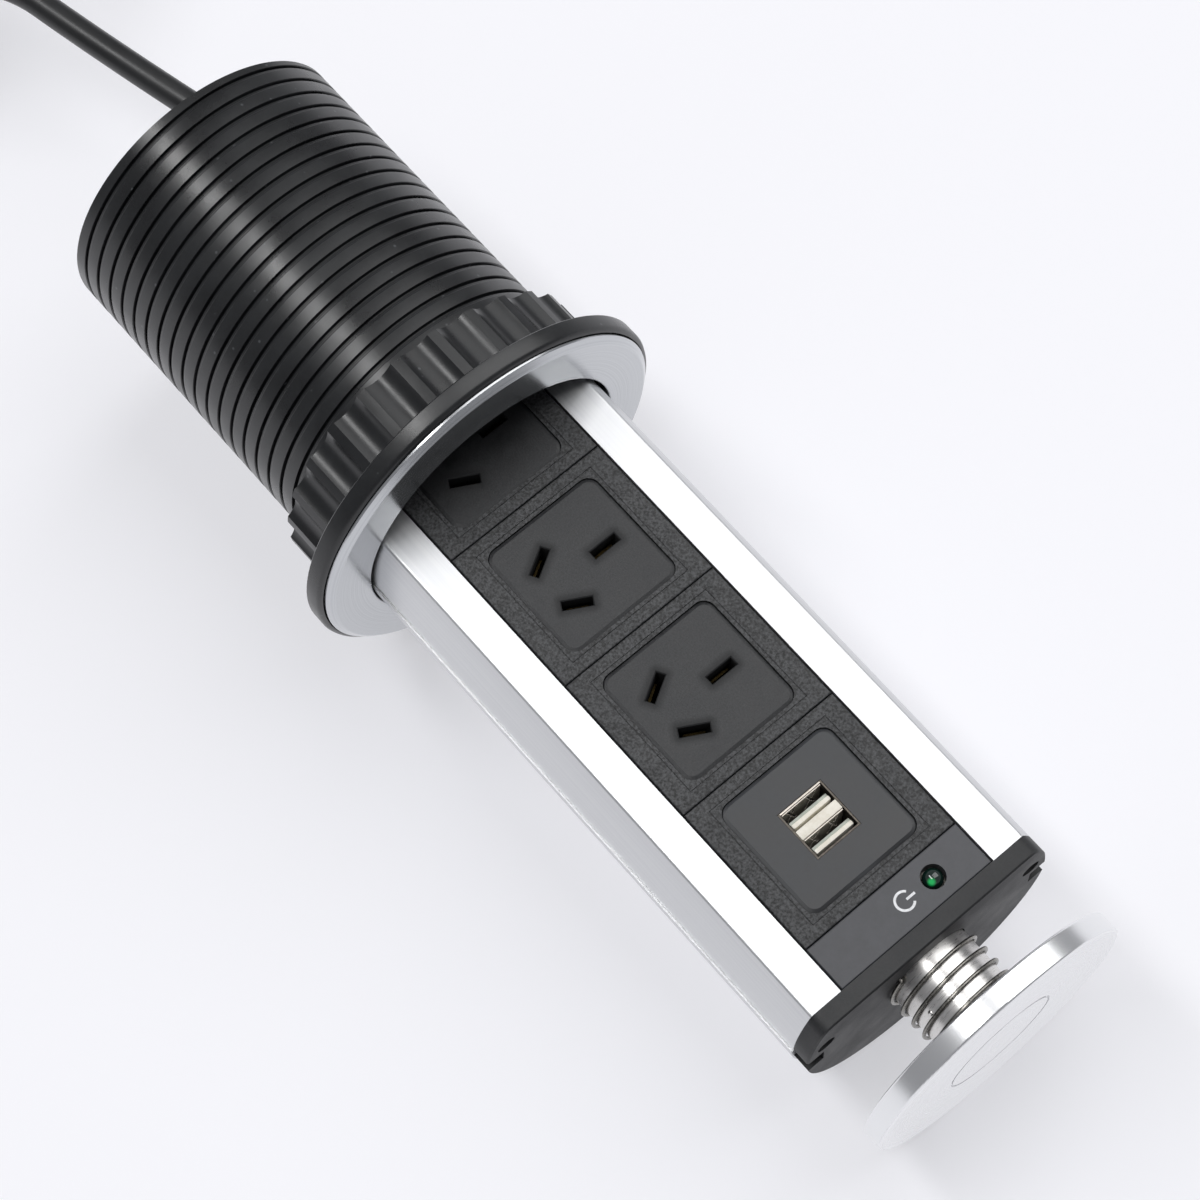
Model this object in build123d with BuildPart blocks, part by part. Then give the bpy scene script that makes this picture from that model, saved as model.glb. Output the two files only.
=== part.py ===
from build123d import *
import math
import os

# Pop up desk socket: a round tower of sockets that slides up through a desk grommet.
# Millimetres. +Z is the way the tower rises, -Y is the side that the sockets face.
# The origin is the centre of the flange's underside, which rests on the desk top.

os.makedirs("parts", exist_ok=True)

# Clearances shared by all pieces
fit_gap = 0.1
module_gap = 0.2
running_gap = 0.3
cut_overrun = 1.0

# Tower: what every piece of the column lines up with, and what the grommet is sized round
tower_front = 18.2
tower_radius = 36.5
tower_rear_step = 0.5
module_pitch = 41.45
usb_module_height = 41.35
socket_count = 3
first_seam = -20.4
led_panel_height = 12.1
lower_panel_height = 12.0
tower_rear_radius = tower_radius + tower_rear_step
usb_bottom = first_seam + socket_count * module_pitch
led_bottom = usb_bottom + usb_module_height
plate_bottom = led_bottom + led_panel_height
tower_bottom = first_seam - lower_panel_height

# Sleeve that the tower slides in
sleeve_clearance = 1.2
sleeve_wall = 1.8
sleeve_length = 106.8
sleeve_end_chamfer = 0.8
sleeve_bore_radius = tower_rear_radius + sleeve_clearance
sleeve_radius = sleeve_bore_radius + sleeve_wall

# Thread on the sleeve: one right-handed groove that runs off the far end, and the
# lock ring's rib that rides in it
thread_pitch = 4.9
thread_groove_depth = 1.0
thread_groove_width = 1.5
thread_floor_width = 0.7
thread_collar = 3.0
thread_mark_height = -20.9
rib_gap = 0.15
rib_root = 0.6
rib_turns = 2.25

# Metal trim ring in the flange; its lip keeps the tower's foot in
trim_lip_clearance = 0.4
trim_width = 12.6
trim_seat_height = 3.2
trim_edge_height = 2.5
trim_chamfer_width = 1.6
trim_chamfer_height = 1.3
trim_face_rise = 0.25
trim_inner_round = 0.5
trim_recess_gap = 0.3
trim_bore_radius = tower_rear_radius + trim_lip_clearance
trim_radius = trim_bore_radius + trim_width
trim_seat_radius = trim_radius + trim_recess_gap
trim_top = trim_seat_height + trim_edge_height + trim_chamfer_height + trim_face_rise

# Clamp washer and fluted lock ring under the desk
lock_ring_wall = 3.5
lock_ring_flute_depth = 1.8
lock_ring_flute_count = 25
lock_ring_height = 16.5
lock_ring_flute_share = 0.8
washer_overhang = 0.8
washer_thickness = 1.0
lock_ring_bore_radius = sleeve_radius + running_gap
lock_ring_crest_radius = lock_ring_bore_radius + lock_ring_wall
washer_radius = lock_ring_crest_radius + washer_overhang

# Flange, one moulding with the sleeve: a seat for the desk and a recess for the washer
flange_height = 5.0
flange_land = 0.1
flange_chamfer = 1.2
flange_recess_gap = 0.6
flange_recess_depth = 0.5
flange_radius = trim_seat_radius + flange_land + flange_chamfer
flange_recess_radius = washer_radius + flange_recess_gap
lock_ring_top = flange_recess_depth - washer_thickness

# Side profiles
module_width = 44.8
profile_seam = 0.5
profile_wall = 1.8
profile_rear_setback = 0.3
profile_crease_round = 1.1
profile_ledge_width = 1.5
profile_ledge_depth = 1.5
screw_port_wall = 1.7
screw_port_sink = 0.3
screw_port_angle = -11.0
screw_radius = 1.6
profile_seat = module_width / 2 + profile_seam

# Rear shell
shell_wall = 1.8
shell_flange_reach = 24.0

# Module frames and socket inserts
frame_depth = 4.4
frame_edge_round = 0.35
frame_border = 35.3
frame_border_groove = 0.25
frame_border_depth = 0.25
insert_width = 33.0
insert_corner = 3.3
insert_gap = 0.15
insert_depth = 14.0
insert_setback = 0.15
insert_front_wall = 3.5
insert_shoulder_width = 0.85
insert_shoulder_depth = 0.35

# Pin slots, live and neutral tilted either side of the earth
slot_length = 7.5
slot_width = 2.3
slot_tilt = 30.0
slot_rim_chamfer = 0.25
pin_offset = 7.1
pin_spacing = 13.72

# Contact clips and busbars behind the slots
contact_leaf = 0.6
contact_reach = 8.5
contact_width = 5.4
contact_throat = 1.4
chamber_gap = 0.5
contact_tab_width = 3.0
busbar_width = 4.0
busbar_thickness = 0.8
busbar_offset = 6.4
busbar_tail = 14.0

# Terminal block at the foot of the busbars
terminal_width = 34.0
terminal_height = 12.0
terminal_depth = 12.0
terminal_hole_radius = 1.9
terminal_screw_radius = 1.5

# Twin charging outlet
usb_opening_width = 13.1
usb_opening_height = 13.9
usb_shell_wall = 0.4
usb_shell_depth = 15.0
usb_insert_depth = 4.0
usb_divider_height = 2.6
usb_tongue_thickness = 1.9
usb_tongue_setback = 1.2
usb_tongue_width = 11.1
usb_tongue_inset = 1.3
usb_board_width = 34.0
usb_board_height = 25.0
usb_board_thickness = 1.6

# Lamp in the panel over the charging outlet
lamp_offset = 10.2
lamp_hole_radius = 3.0
lamp_radius = 2.5
lamp_rim_radius = 2.85
lamp_rim_height = 0.8
lamp_stand = 0.6
lamp_length = 7.2
led_panel_depth = 4.0
led_holder_radius = 4.2
led_holder_depth = 1.6

# End plate
plate_thickness = 4.85
plate_corner = 4.0
plate_edge_round = 0.4
plate_notch_width = 6.3
plate_notch_offset = 1.95
plate_notch_reach = 5.0
plate_screw_recess = 2.0
plate_screw_head_radius = 2.4
plate_screw_length = 12.0
plate_top = plate_bottom + plate_thickness

# Foot of the tower
foot_height = 7.0
foot_edge_round = 0.6
foot_radius = sleeve_bore_radius - running_gap
foot_bottom = tower_bottom - foot_height
friction_pad_thickness = 1.4
friction_pad_height = 4.6
friction_pad_width = 10.5
friction_pad_proud = 0.1
friction_pad_angles = (0.0, 90.0, 180.0)
screw_head_radius = 2.9
screw_head_height = 1.7

# Spring cap: neck, disc and the sleeve that guides the neck
neck_radius = 11.0
neck_wall = 2.2
neck_gap = 0.3
neck_collar_radius = 12.0
neck_collar_height = 1.8
neck_depth = 10.5
guide_wall = 1.0
guide_length = 21.0
cap_radius = 36.2
cap_thickness = 5.7
cap_gap = 18.25
cap_edge_round = 0.7
cap_groove_radius = 15.0
cap_groove_width = 0.6
cap_groove_depth = 0.4
cap_screw_radius = 2.0
cap_screw_length = 9.0
cap_screw_head_radius = 3.8
cap_screw_head_height = 2.4
cap_boss_depth = 6.0
cap_bottom = plate_top + cap_gap
cap_top = cap_bottom + cap_thickness

# Visible spring, open coils with both ends turned into the plate and the cap
spring_wire = 1.2
spring_outer_radius = 12.6
spring_turns = 4.75
spring_start_angle = -35.0
spring_lay_gap = 0.06
spring_bend_radius = 1.25
spring_tail = 1.25
spring_hole_radius = 1.1
spring_radius = spring_outer_radius - spring_wire / 2

# Supply lead and the gland that it leaves the foot by
lead_diameter = 7.5
gland_y = 12.0
gland_nut_radius = 10.0
gland_nut_height = 6.0
gland_boot_radius = 6.6
gland_boot_length = 28.0
gland_boot_end_radius = 4.6
gland_thread_radius = 7.5
gland_locknut_height = 4.0
gland_shell_gap = 3.567
gland_bottom = foot_bottom - gland_nut_height - gland_boot_length
gland_reach = tower_rear_radius - shell_wall - gland_nut_radius - gland_shell_gap
gland_x = -math.sqrt(gland_reach**2 - gland_y**2)

# Coil of the length that hangs below the tower
coil_outer_radius = 46.8
coil_pitch = 8.1
coil_layer_pitch = 8.2
coil_inner_turns = 2.5
coil_climb_turns = 0.5
coil_outer_turns = 2.25
coil_start_angle = 55.0
coil_centre_x = -0.8
coil_centre_z = -262.3
coil_y = gland_y

# Tie round the bottom of the coil
tie_width = 12.0
tie_thickness = 1.3
tie_gap = 1.1

# Plug on the far end of the lead
plug_boot_length = 18.0
plug_boot_radius = 6.2
plug_boot_end_radius = 4.6
plug_shoulder_height = 15.0
plug_body_height = 19.0
plug_width = 36.0
plug_depth = 33.0
plug_corner = 13.0
plug_neck_share = 0.42
plug_face_share = 0.9
plug_pin_width = 6.3
plug_pin_thickness = 1.6
plug_pin_length = 17.1
plug_earth_length = 19.9
plug_pin_offset = 3.96
plug_earth_offset = 10.31


def save(piece, label):
    """Name a finished piece and write it as a file of its own."""
    piece.part.label = label
    export_step(piece.part, f"parts/{label}.step")


# Flange and sleeve
def thread_turns_above_mark(height):
    """Turns from the groove's mark on the sockets' side up to a height at +X."""
    return (height - thread_mark_height) / thread_pitch - 1 / 4


def thread_sweep(first_turn, turns, floor_radius, mouth_radius, floor_width, mouth_width):
    """A solid that follows the groove from a whole number of turns above its mark."""
    start_height = thread_mark_height + (first_turn + 1 / 4) * thread_pitch
    with BuildPart() as follower:
        with BuildLine() as path:
            helix = Helix(
                pitch=thread_pitch,
                height=turns * thread_pitch,
                radius=sleeve_radius,
                center=(0, 0, start_height),
            )
        with BuildSketch(Plane(origin=helix @ 0, x_dir=(1, 0, 0), z_dir=helix % 0)):
            with BuildLine():
                Polyline(
                    (floor_radius - sleeve_radius, -floor_width / 2),
                    (mouth_radius - sleeve_radius, -mouth_width / 2),
                    (mouth_radius - sleeve_radius, mouth_width / 2),
                    (floor_radius - sleeve_radius, floor_width / 2),
                    close=True,
                )
            make_face()
        sweep(path=path.wires()[0], is_frenet=True)
    return follower.part


def build_barrel():
    bottom = -sleeve_length
    with BuildPart() as barrel:
        with BuildSketch(Plane.XZ):
            with BuildLine():
                Polyline(
                    (sleeve_bore_radius, bottom),
                    (sleeve_bore_radius, trim_seat_height),
                    (trim_seat_radius, trim_seat_height),
                    (trim_seat_radius, flange_height),
                    (flange_radius - flange_chamfer, flange_height),
                    (flange_radius, flange_height - flange_chamfer),
                    (flange_radius, 0),
                    (flange_recess_radius, 0),
                    (flange_recess_radius, flange_recess_depth),
                    (sleeve_radius, flange_recess_depth),
                    (sleeve_radius, bottom + sleeve_end_chamfer),
                    (sleeve_radius - sleeve_end_chamfer, bottom),
                    close=True,
                )
            make_face()
        revolve(axis=Axis.Z)
        first_turn = math.floor(thread_turns_above_mark(bottom - thread_groove_width))
        last_turn = thread_turns_above_mark(-thread_collar)
        flank_spread = (thread_groove_width - thread_floor_width) * cut_overrun / thread_groove_depth
        groove = thread_sweep(
            first_turn,
            last_turn - first_turn,
            sleeve_radius - thread_groove_depth,
            sleeve_radius + cut_overrun,
            thread_floor_width,
            thread_groove_width + flank_spread,
        )
        add(groove, mode=Mode.SUBTRACT)
    save(barrel, "barrel")


def build_bezel_ring():
    shoulder = trim_seat_height + trim_edge_height
    with BuildPart() as bezel_ring:
        with BuildSketch(Plane.XZ) as section:
            with BuildLine():
                Polyline(
                    (trim_bore_radius, trim_seat_height),
                    (trim_radius, trim_seat_height),
                    (trim_radius, shoulder),
                    (trim_radius - trim_chamfer_width, shoulder + trim_chamfer_height),
                    (trim_bore_radius, trim_top),
                    close=True,
                )
            make_face()
            inner_lip = section.vertices().group_by(Axis.X)[0].sort_by(Axis.Y)[-1]
            fillet(inner_lip, radius=trim_inner_round)
        revolve(axis=Axis.Z)
    save(bezel_ring, "bezel_ring")


# Clamp washer and lock ring
def build_clamp_washer():
    with BuildPart() as clamp_washer:
        with BuildSketch(Plane.XY.offset(lock_ring_top)):
            Circle(washer_radius)
            Circle(lock_ring_bore_radius, mode=Mode.SUBTRACT)
        extrude(amount=washer_thickness)
    save(clamp_washer, "clamp_washer")


def build_lock_ring():
    bottom = lock_ring_top - lock_ring_height
    flute_angle = 360.0 / lock_ring_flute_count
    half_width = lock_ring_crest_radius * math.radians(flute_angle) / 2 * lock_ring_flute_share
    flute_radius = (half_width**2 + lock_ring_flute_depth**2) / (2 * lock_ring_flute_depth)
    flute_centre = lock_ring_crest_radius - lock_ring_flute_depth + flute_radius
    with BuildPart() as lock_ring:
        with BuildSketch(Plane.XY.offset(bottom)):
            Circle(lock_ring_crest_radius)
            with PolarLocations(flute_centre, lock_ring_flute_count, -90):
                Circle(flute_radius, mode=Mode.SUBTRACT)
            Circle(lock_ring_bore_radius, mode=Mode.SUBTRACT)
        extrude(amount=lock_ring_height)
        first_turn = math.ceil(thread_turns_above_mark(bottom + thread_groove_width))
        flank_slope = (thread_groove_width - thread_floor_width) / thread_groove_depth
        rib_reach = thread_groove_depth - rib_gap
        root_reach = lock_ring_bore_radius - sleeve_radius + rib_root
        rib = thread_sweep(
            first_turn,
            rib_turns,
            sleeve_radius - rib_reach,
            sleeve_radius + root_reach,
            thread_groove_width - rib_reach * flank_slope - 2 * rib_gap,
            thread_groove_width + root_reach * flank_slope - 2 * rib_gap,
        )
        add(rib)
    save(lock_ring, "lock_ring")


# Side profiles: hollow extrusions with a ledge for the modules and a screw port
def build_profiles():
    rear = -profile_rear_setback
    crease_x = math.sqrt(tower_radius**2 - tower_front**2)
    rear_x = math.sqrt(tower_radius**2 - rear**2)
    turn = math.atan2(-tower_front, crease_x) / 2
    arc_middle = (tower_radius * math.cos(turn), tower_radius * math.sin(turn))
    port_reach = tower_radius - profile_wall - screw_radius - screw_port_wall + screw_port_sink
    port_x, port_y = polar(port_reach, screw_port_angle)
    ledge_y = frame_depth + profile_ledge_depth / 2 - tower_front
    with BuildPart() as profile_right:
        with BuildSketch(Plane.XY.offset(tower_bottom)) as section:
            with BuildLine():
                Polyline(
                    (rear_x, rear),
                    (profile_seat, rear),
                    (profile_seat, -tower_front),
                    (crease_x, -tower_front),
                )
                ThreePointArc((crease_x, -tower_front), arc_middle, (rear_x, rear))
            make_face()
            front_corner = section.vertices().group_by(Axis.Y)[0].sort_by(Axis.X)[-1]
            fillet(front_corner, radius=profile_crease_round)
            offset(amount=-profile_wall, mode=Mode.SUBTRACT)
            with Locations((profile_seat + profile_wall / 2 - profile_ledge_width / 2, ledge_y)):
                Rectangle(profile_ledge_width + profile_wall, profile_ledge_depth)
            with Locations((port_x, port_y)):
                Circle(screw_radius + screw_port_wall)
                Circle(screw_radius + fit_gap / 2, mode=Mode.SUBTRACT)
        extrude(amount=plate_bottom - tower_bottom)
    save(profile_right, "profile_right")
    with BuildPart() as profile_left:
        mirror(profile_right.part, about=Plane.YZ)
    save(profile_left, "profile_left")
    return port_x, port_y


def build_rear_shell():
    inner = tower_rear_radius - shell_wall
    with BuildPart() as rear_shell:
        with BuildSketch(Plane.XY.offset(tower_bottom)):
            Circle(tower_rear_radius)
            Circle(inner, mode=Mode.SUBTRACT)
            with Locations((0, -tower_rear_radius)):
                Rectangle(4 * tower_rear_radius, 2 * tower_rear_radius, mode=Mode.SUBTRACT)
            for side in (-1, 1):
                flange_middle = side * (shell_flange_reach + inner + shell_wall / 2) / 2
                with Locations((flange_middle, shell_wall / 2)):
                    Rectangle(inner + shell_wall / 2 - shell_flange_reach, shell_wall)
        extrude(amount=plate_bottom - tower_bottom)
    save(rear_shell, "rear_shell")


# Front modules
def module_frame(bottom, height):
    """A module's textured frame: a round-cornered opening inside a square border line."""
    centre = bottom + height / 2
    with BuildPart() as frame:
        with BuildSketch(Plane.XZ.offset(tower_front - frame_depth)):
            with Locations((0, centre)):
                Rectangle(module_width, height - module_gap)
        extrude(amount=frame_depth)
        fillet(frame.faces().sort_by(Axis.Y)[0].edges(), radius=frame_edge_round)
        with BuildSketch(Plane.XZ.offset(tower_front)):
            with Locations((0, centre)):
                Rectangle(frame_border, frame_border)
                inside = frame_border - 2 * frame_border_groove
                Rectangle(inside, inside, mode=Mode.SUBTRACT)
        extrude(amount=-frame_border_depth, mode=Mode.SUBTRACT)
        with BuildSketch(Plane.XZ.offset(tower_front - frame_depth)):
            with Locations((0, centre)):
                RectangleRounded(insert_width, insert_width, insert_corner)
        extrude(amount=frame_depth, mode=Mode.SUBTRACT)
    return frame


def insert_block(centre, depth):
    """The smooth insert in a frame's opening, with a sloped shoulder all round its face."""
    width = insert_width - 2 * insert_gap
    with BuildPart() as block:
        with BuildSketch(Plane.XZ.offset(tower_front - insert_setback - depth)):
            with Locations((0, centre)):
                RectangleRounded(width, width, insert_corner - insert_gap)
        extrude(amount=depth)
        face = block.faces().sort_by(Axis.Y)[0]
        chamfer(
            face.edges(),
            length=insert_shoulder_width,
            length2=insert_shoulder_depth,
            reference=face,
        )
    return block


def pin_places():
    """Name, x, z and tilt of the three pins about a module's centre."""
    half = pin_spacing / 2
    return (
        ("live", pin_offset, half, -slot_tilt),
        ("neutral", pin_offset, -half, slot_tilt),
        ("earth", -pin_offset, 0, 0),
    )


def build_socket_insert(index, centre):
    front_y = tower_front - insert_setback
    hollow = insert_depth - insert_front_wall
    chamber_length = contact_width + 2 * chamber_gap
    chamber_width = contact_throat + 2 * contact_leaf + 2 * chamber_gap
    block = insert_block(centre, insert_depth)
    with BuildPart() as insert:
        add(block.part)
        with BuildSketch(Plane.XZ.offset(front_y)):
            for name, x, z, tilt in pin_places():
                with Locations(Location((x, centre + z), tilt)):
                    Rectangle(slot_length, slot_width)
        extrude(amount=-insert_depth, mode=Mode.SUBTRACT)
        slotted_face = insert.faces().sort_by(Axis.Y)[0]
        slot_rims = [edge for rim in slotted_face.inner_wires() for edge in rim.edges()]
        chamfer(slot_rims, length=slot_rim_chamfer)
        with BuildSketch(Plane.XZ.offset(front_y - insert_depth)):
            for name, x, z, tilt in pin_places():
                with Locations(Location((x, centre + z), tilt)):
                    Rectangle(chamber_length, chamber_width)
        extrude(amount=hollow, mode=Mode.SUBTRACT)
    save(insert, f"socket_insert_{index}")
    return front_y - insert_depth


def build_contact(index, name, x, z, tilt, back_y, bar_x):
    """A spring clip of two leaves on a base, with a tab that reaches its busbar."""
    turn = math.radians(tilt)
    clip_plane = Plane(
        origin=(x, -back_y, z),
        x_dir=(math.cos(turn), 0, math.sin(turn)),
        z_dir=(0, -1, 0),
    )
    leaf_middle = (contact_throat + contact_leaf) / 2
    base_height = contact_throat + 2 * contact_leaf
    tab_length = abs(bar_x - x) + busbar_width / 2
    tab_middle = x + math.copysign(tab_length / 2, bar_x - x)
    with BuildPart() as contact:
        with BuildSketch(clip_plane.offset(-contact_leaf)):
            Rectangle(contact_width, base_height)
        extrude(amount=contact_leaf)
        with BuildSketch(clip_plane):
            with GridLocations(0, 2 * leaf_middle, 1, 2):
                Rectangle(contact_width, contact_leaf)
        extrude(amount=contact_reach)
        with BuildSketch(Plane.XZ.offset(back_y - contact_leaf)):
            with Locations((tab_middle, z)):
                Rectangle(tab_length, contact_tab_width)
        extrude(amount=contact_leaf)
    save(contact, f"contact_{name}_{index}")


def busbar_places():
    """Name and x of each busbar: live outside the live pins, neutral inside, earth outside."""
    return {
        "live": pin_offset + busbar_offset,
        "neutral": pin_offset - busbar_offset,
        "earth": -pin_offset - busbar_offset,
    }


def build_sockets():
    for index in range(1, socket_count + 1):
        bottom = first_seam + (index - 1) * module_pitch
        centre = bottom + module_pitch / 2
        save(module_frame(bottom, module_pitch), f"socket_frame_{index}")
        back_y = build_socket_insert(index, centre)
        for name, x, z, tilt in pin_places():
            bar_x = busbar_places()[name]
            build_contact(index, name, x, centre + z, tilt, back_y, bar_x)
    top = first_seam + (socket_count - 1 / 2) * module_pitch + pin_spacing / 2 + busbar_width / 2
    bar_y = back_y - contact_leaf
    bar_bottom = first_seam + busbar_tail - terminal_height
    for name, bar_x in busbar_places().items():
        with BuildPart() as busbar:
            with BuildSketch(Plane.XZ.offset(bar_y - busbar_thickness)):
                with Locations((bar_x, (top + bar_bottom) / 2)):
                    Rectangle(busbar_width, top - bar_bottom)
            extrude(amount=busbar_thickness)
        save(busbar, f"busbar_{name}")
    return bar_y - busbar_thickness, bar_bottom


def build_terminal_block(front_y, bottom):
    bars = list(busbar_places().values())
    with BuildPart() as terminal_block:
        with BuildSketch(Plane.XZ.offset(front_y - terminal_depth)):
            with Locations((0, bottom + terminal_height / 2)):
                Rectangle(terminal_width, terminal_height)
        extrude(amount=terminal_depth)
        wire_y = -front_y + terminal_depth / 2
        with BuildSketch(Plane.XY.offset(bottom)):
            with Locations(*[(bar_x, wire_y) for bar_x in bars]):
                Circle(terminal_hole_radius)
        extrude(amount=terminal_height / 2, mode=Mode.SUBTRACT)
        with BuildSketch(Plane.XZ.offset(front_y - terminal_depth)):
            with Locations(*[(bar_x, bottom + terminal_height / 2) for bar_x in bars]):
                Circle(terminal_screw_radius)
        extrude(amount=terminal_depth / 2 - terminal_hole_radius, mode=Mode.SUBTRACT)
    save(terminal_block, "terminal_block")


# Twin charging outlet: frame, insert, metal shell, divider, tongues and board
def build_usb():
    height = led_bottom - usb_bottom
    centre = usb_bottom + height / 2
    save(module_frame(usb_bottom, height), "usb_frame")
    front_y = tower_front - insert_setback
    block = insert_block(centre, usb_insert_depth)
    with BuildPart() as usb_insert:
        add(block.part)
        with BuildSketch(Plane.XZ.offset(front_y)):
            with Locations((0, centre)):
                Rectangle(usb_opening_width, usb_opening_height)
        extrude(amount=-usb_insert_depth, mode=Mode.SUBTRACT)
    save(usb_insert, "usb_insert")
    shell_width = usb_opening_width - 2 * fit_gap
    shell_height = usb_opening_height - 2 * fit_gap
    shell_front = front_y - fit_gap
    inner_width = shell_width - 2 * usb_shell_wall
    inner_height = shell_height - 2 * usb_shell_wall
    with BuildPart() as usb_shell:
        with BuildSketch(Plane.XZ.offset(shell_front - usb_shell_depth)):
            with Locations((0, centre)):
                Rectangle(shell_width, shell_height)
        extrude(amount=usb_shell_depth)
        with BuildSketch(Plane.XZ.offset(shell_front - usb_shell_depth + usb_shell_wall)):
            with Locations((0, centre)):
                Rectangle(inner_width, inner_height)
        extrude(amount=usb_shell_depth - usb_shell_wall, mode=Mode.SUBTRACT)
    save(usb_shell, "usb_shell")
    core_depth = usb_shell_depth - usb_shell_wall
    core_back = shell_front - core_depth
    with BuildPart() as usb_divider:
        with BuildSketch(Plane.XZ.offset(core_back)):
            with Locations((0, centre)):
                Rectangle(inner_width, usb_divider_height)
        extrude(amount=core_depth)
    save(usb_divider, "usb_divider")
    bay_height = (inner_height - usb_divider_height) / 2
    bays = {"lower": centre - usb_divider_height / 2, "upper": centre + usb_divider_height / 2 + bay_height}
    for name, bay_top in bays.items():
        tongue_z = bay_top - usb_tongue_inset
        with BuildPart() as tongue:
            with BuildSketch(Plane.XZ.offset(core_back)):
                with Locations((0, tongue_z)):
                    Rectangle(usb_tongue_width, usb_tongue_thickness)
            extrude(amount=core_depth - usb_tongue_setback)
        save(tongue, f"usb_tongue_{name}")
    board_front = shell_front - usb_shell_depth
    with BuildPart() as usb_board:
        with BuildSketch(Plane.XZ.offset(board_front - usb_board_thickness)):
            with Locations((0, centre - usb_board_thickness)):
                Rectangle(usb_board_width, usb_board_height)
        extrude(amount=usb_board_thickness)
    save(usb_board, "usb_board")


# Lamp panel and lower blank panel
def build_led():
    centre = led_bottom + led_panel_height / 2
    back_y = tower_front - led_panel_depth
    with BuildPart() as led_panel:
        with BuildSketch(Plane.XZ.offset(back_y)):
            with Locations((0, centre)):
                Rectangle(module_width, led_panel_height - module_gap)
        extrude(amount=led_panel_depth)
        fillet(led_panel.faces().sort_by(Axis.Y)[0].edges(), radius=frame_edge_round)
        with BuildSketch(Plane.XZ.offset(back_y)):
            with Locations((-lamp_offset, centre)):
                Circle(lamp_hole_radius)
        extrude(amount=led_panel_depth, mode=Mode.SUBTRACT)
    save(led_panel, "led_panel")
    lamp_axis = Axis((-lamp_offset, 0, centre), (0, 1, 0))
    tip = -tower_front - lamp_stand
    shoulder = tip + lamp_radius
    tail = tip + lamp_length
    with BuildPart() as led_lamp:
        with BuildSketch(Plane.XY.offset(centre)):
            with BuildLine():
                JernArc((-lamp_offset, tip), (1, 0), lamp_radius, 90)
                Polyline(
                    (-lamp_offset + lamp_radius, shoulder),
                    (-lamp_offset + lamp_radius, tail - lamp_rim_height),
                    (-lamp_offset + lamp_rim_radius, tail - lamp_rim_height),
                    (-lamp_offset + lamp_rim_radius, tail),
                    (-lamp_offset, tail),
                    (-lamp_offset, tip),
                )
            make_face()
        revolve(axis=lamp_axis)
    save(led_lamp, "led_lamp")
    with BuildPart() as led_holder:
        with BuildSketch(Plane.XZ.offset(back_y - led_holder_depth)):
            with Locations((-lamp_offset, centre)):
                Circle(led_holder_radius)
                Circle(lamp_radius + fit_gap, mode=Mode.SUBTRACT)
        extrude(amount=led_holder_depth)
    save(led_holder, "led_holder")


def build_lower_panel():
    with BuildPart() as lower_panel:
        with BuildSketch(Plane.XZ.offset(tower_front - frame_depth)):
            with Locations((0, first_seam - lower_panel_height / 2)):
                Rectangle(module_width, lower_panel_height - module_gap)
        extrude(amount=frame_depth)
        fillet(lower_panel.faces().sort_by(Axis.Y)[0].edges(), radius=frame_edge_round)
    save(lower_panel, "lower_panel")


# End plate: a hole for the neck, two sunk screws into the profiles' ports and a notch at each side
def build_end_plate(port_x, port_y):
    notch_x = tower_radius - (plate_notch_reach - cut_overrun) / 2
    with BuildPart() as end_plate:
        with BuildSketch(Plane.XY.offset(plate_bottom)) as outline:
            Circle(tower_radius)
            with Locations((0, -tower_front - tower_radius)):
                Rectangle(4 * tower_radius, 2 * tower_radius, mode=Mode.SUBTRACT)
            corners = outline.vertices().group_by(Axis.Y)[0]
            fillet(corners, radius=plate_corner)
            Circle(neck_radius + neck_gap, mode=Mode.SUBTRACT)
            with Locations((-notch_x, plate_notch_offset), (notch_x, plate_notch_offset)):
                Rectangle(
                    plate_notch_reach + cut_overrun, plate_notch_width, mode=Mode.SUBTRACT
                )
            with Locations((-port_x, port_y), (port_x, port_y)):
                Circle(screw_radius + fit_gap / 2, mode=Mode.SUBTRACT)
        extrude(amount=plate_thickness)
        rim = end_plate.edges().group_by(Axis.Z)[-1].filter_by(GeomType.LINE).sort_by(Axis.Y)[0]
        chamfer(rim, length=plate_edge_round)
        with BuildSketch(Plane.XY.offset(plate_top)):
            with Locations((-port_x, port_y), (port_x, port_y)):
                Circle(plate_screw_head_radius + fit_gap)
        extrude(amount=-plate_screw_recess - screw_head_height, mode=Mode.SUBTRACT)
        with BuildSketch(Plane.XY.offset(plate_top)):
            with Locations(spring_hole_centre(0)):
                Circle(spring_hole_radius)
        extrude(amount=-spring_hole_depth(), mode=Mode.SUBTRACT)
    save(end_plate, "end_plate")
    head_top = plate_top - plate_screw_recess
    with BuildPart() as plate_screws:
        with BuildSketch(Plane.XY.offset(head_top - screw_head_height)):
            with Locations((-port_x, port_y), (port_x, port_y)):
                Circle(plate_screw_head_radius)
        extrude(amount=screw_head_height)
        with BuildSketch(Plane.XY.offset(head_top - screw_head_height)):
            with Locations((-port_x, port_y), (port_x, port_y)):
                Circle(screw_radius)
        extrude(amount=-plate_screw_length)
    save(plate_screws, "plate_screws")


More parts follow.
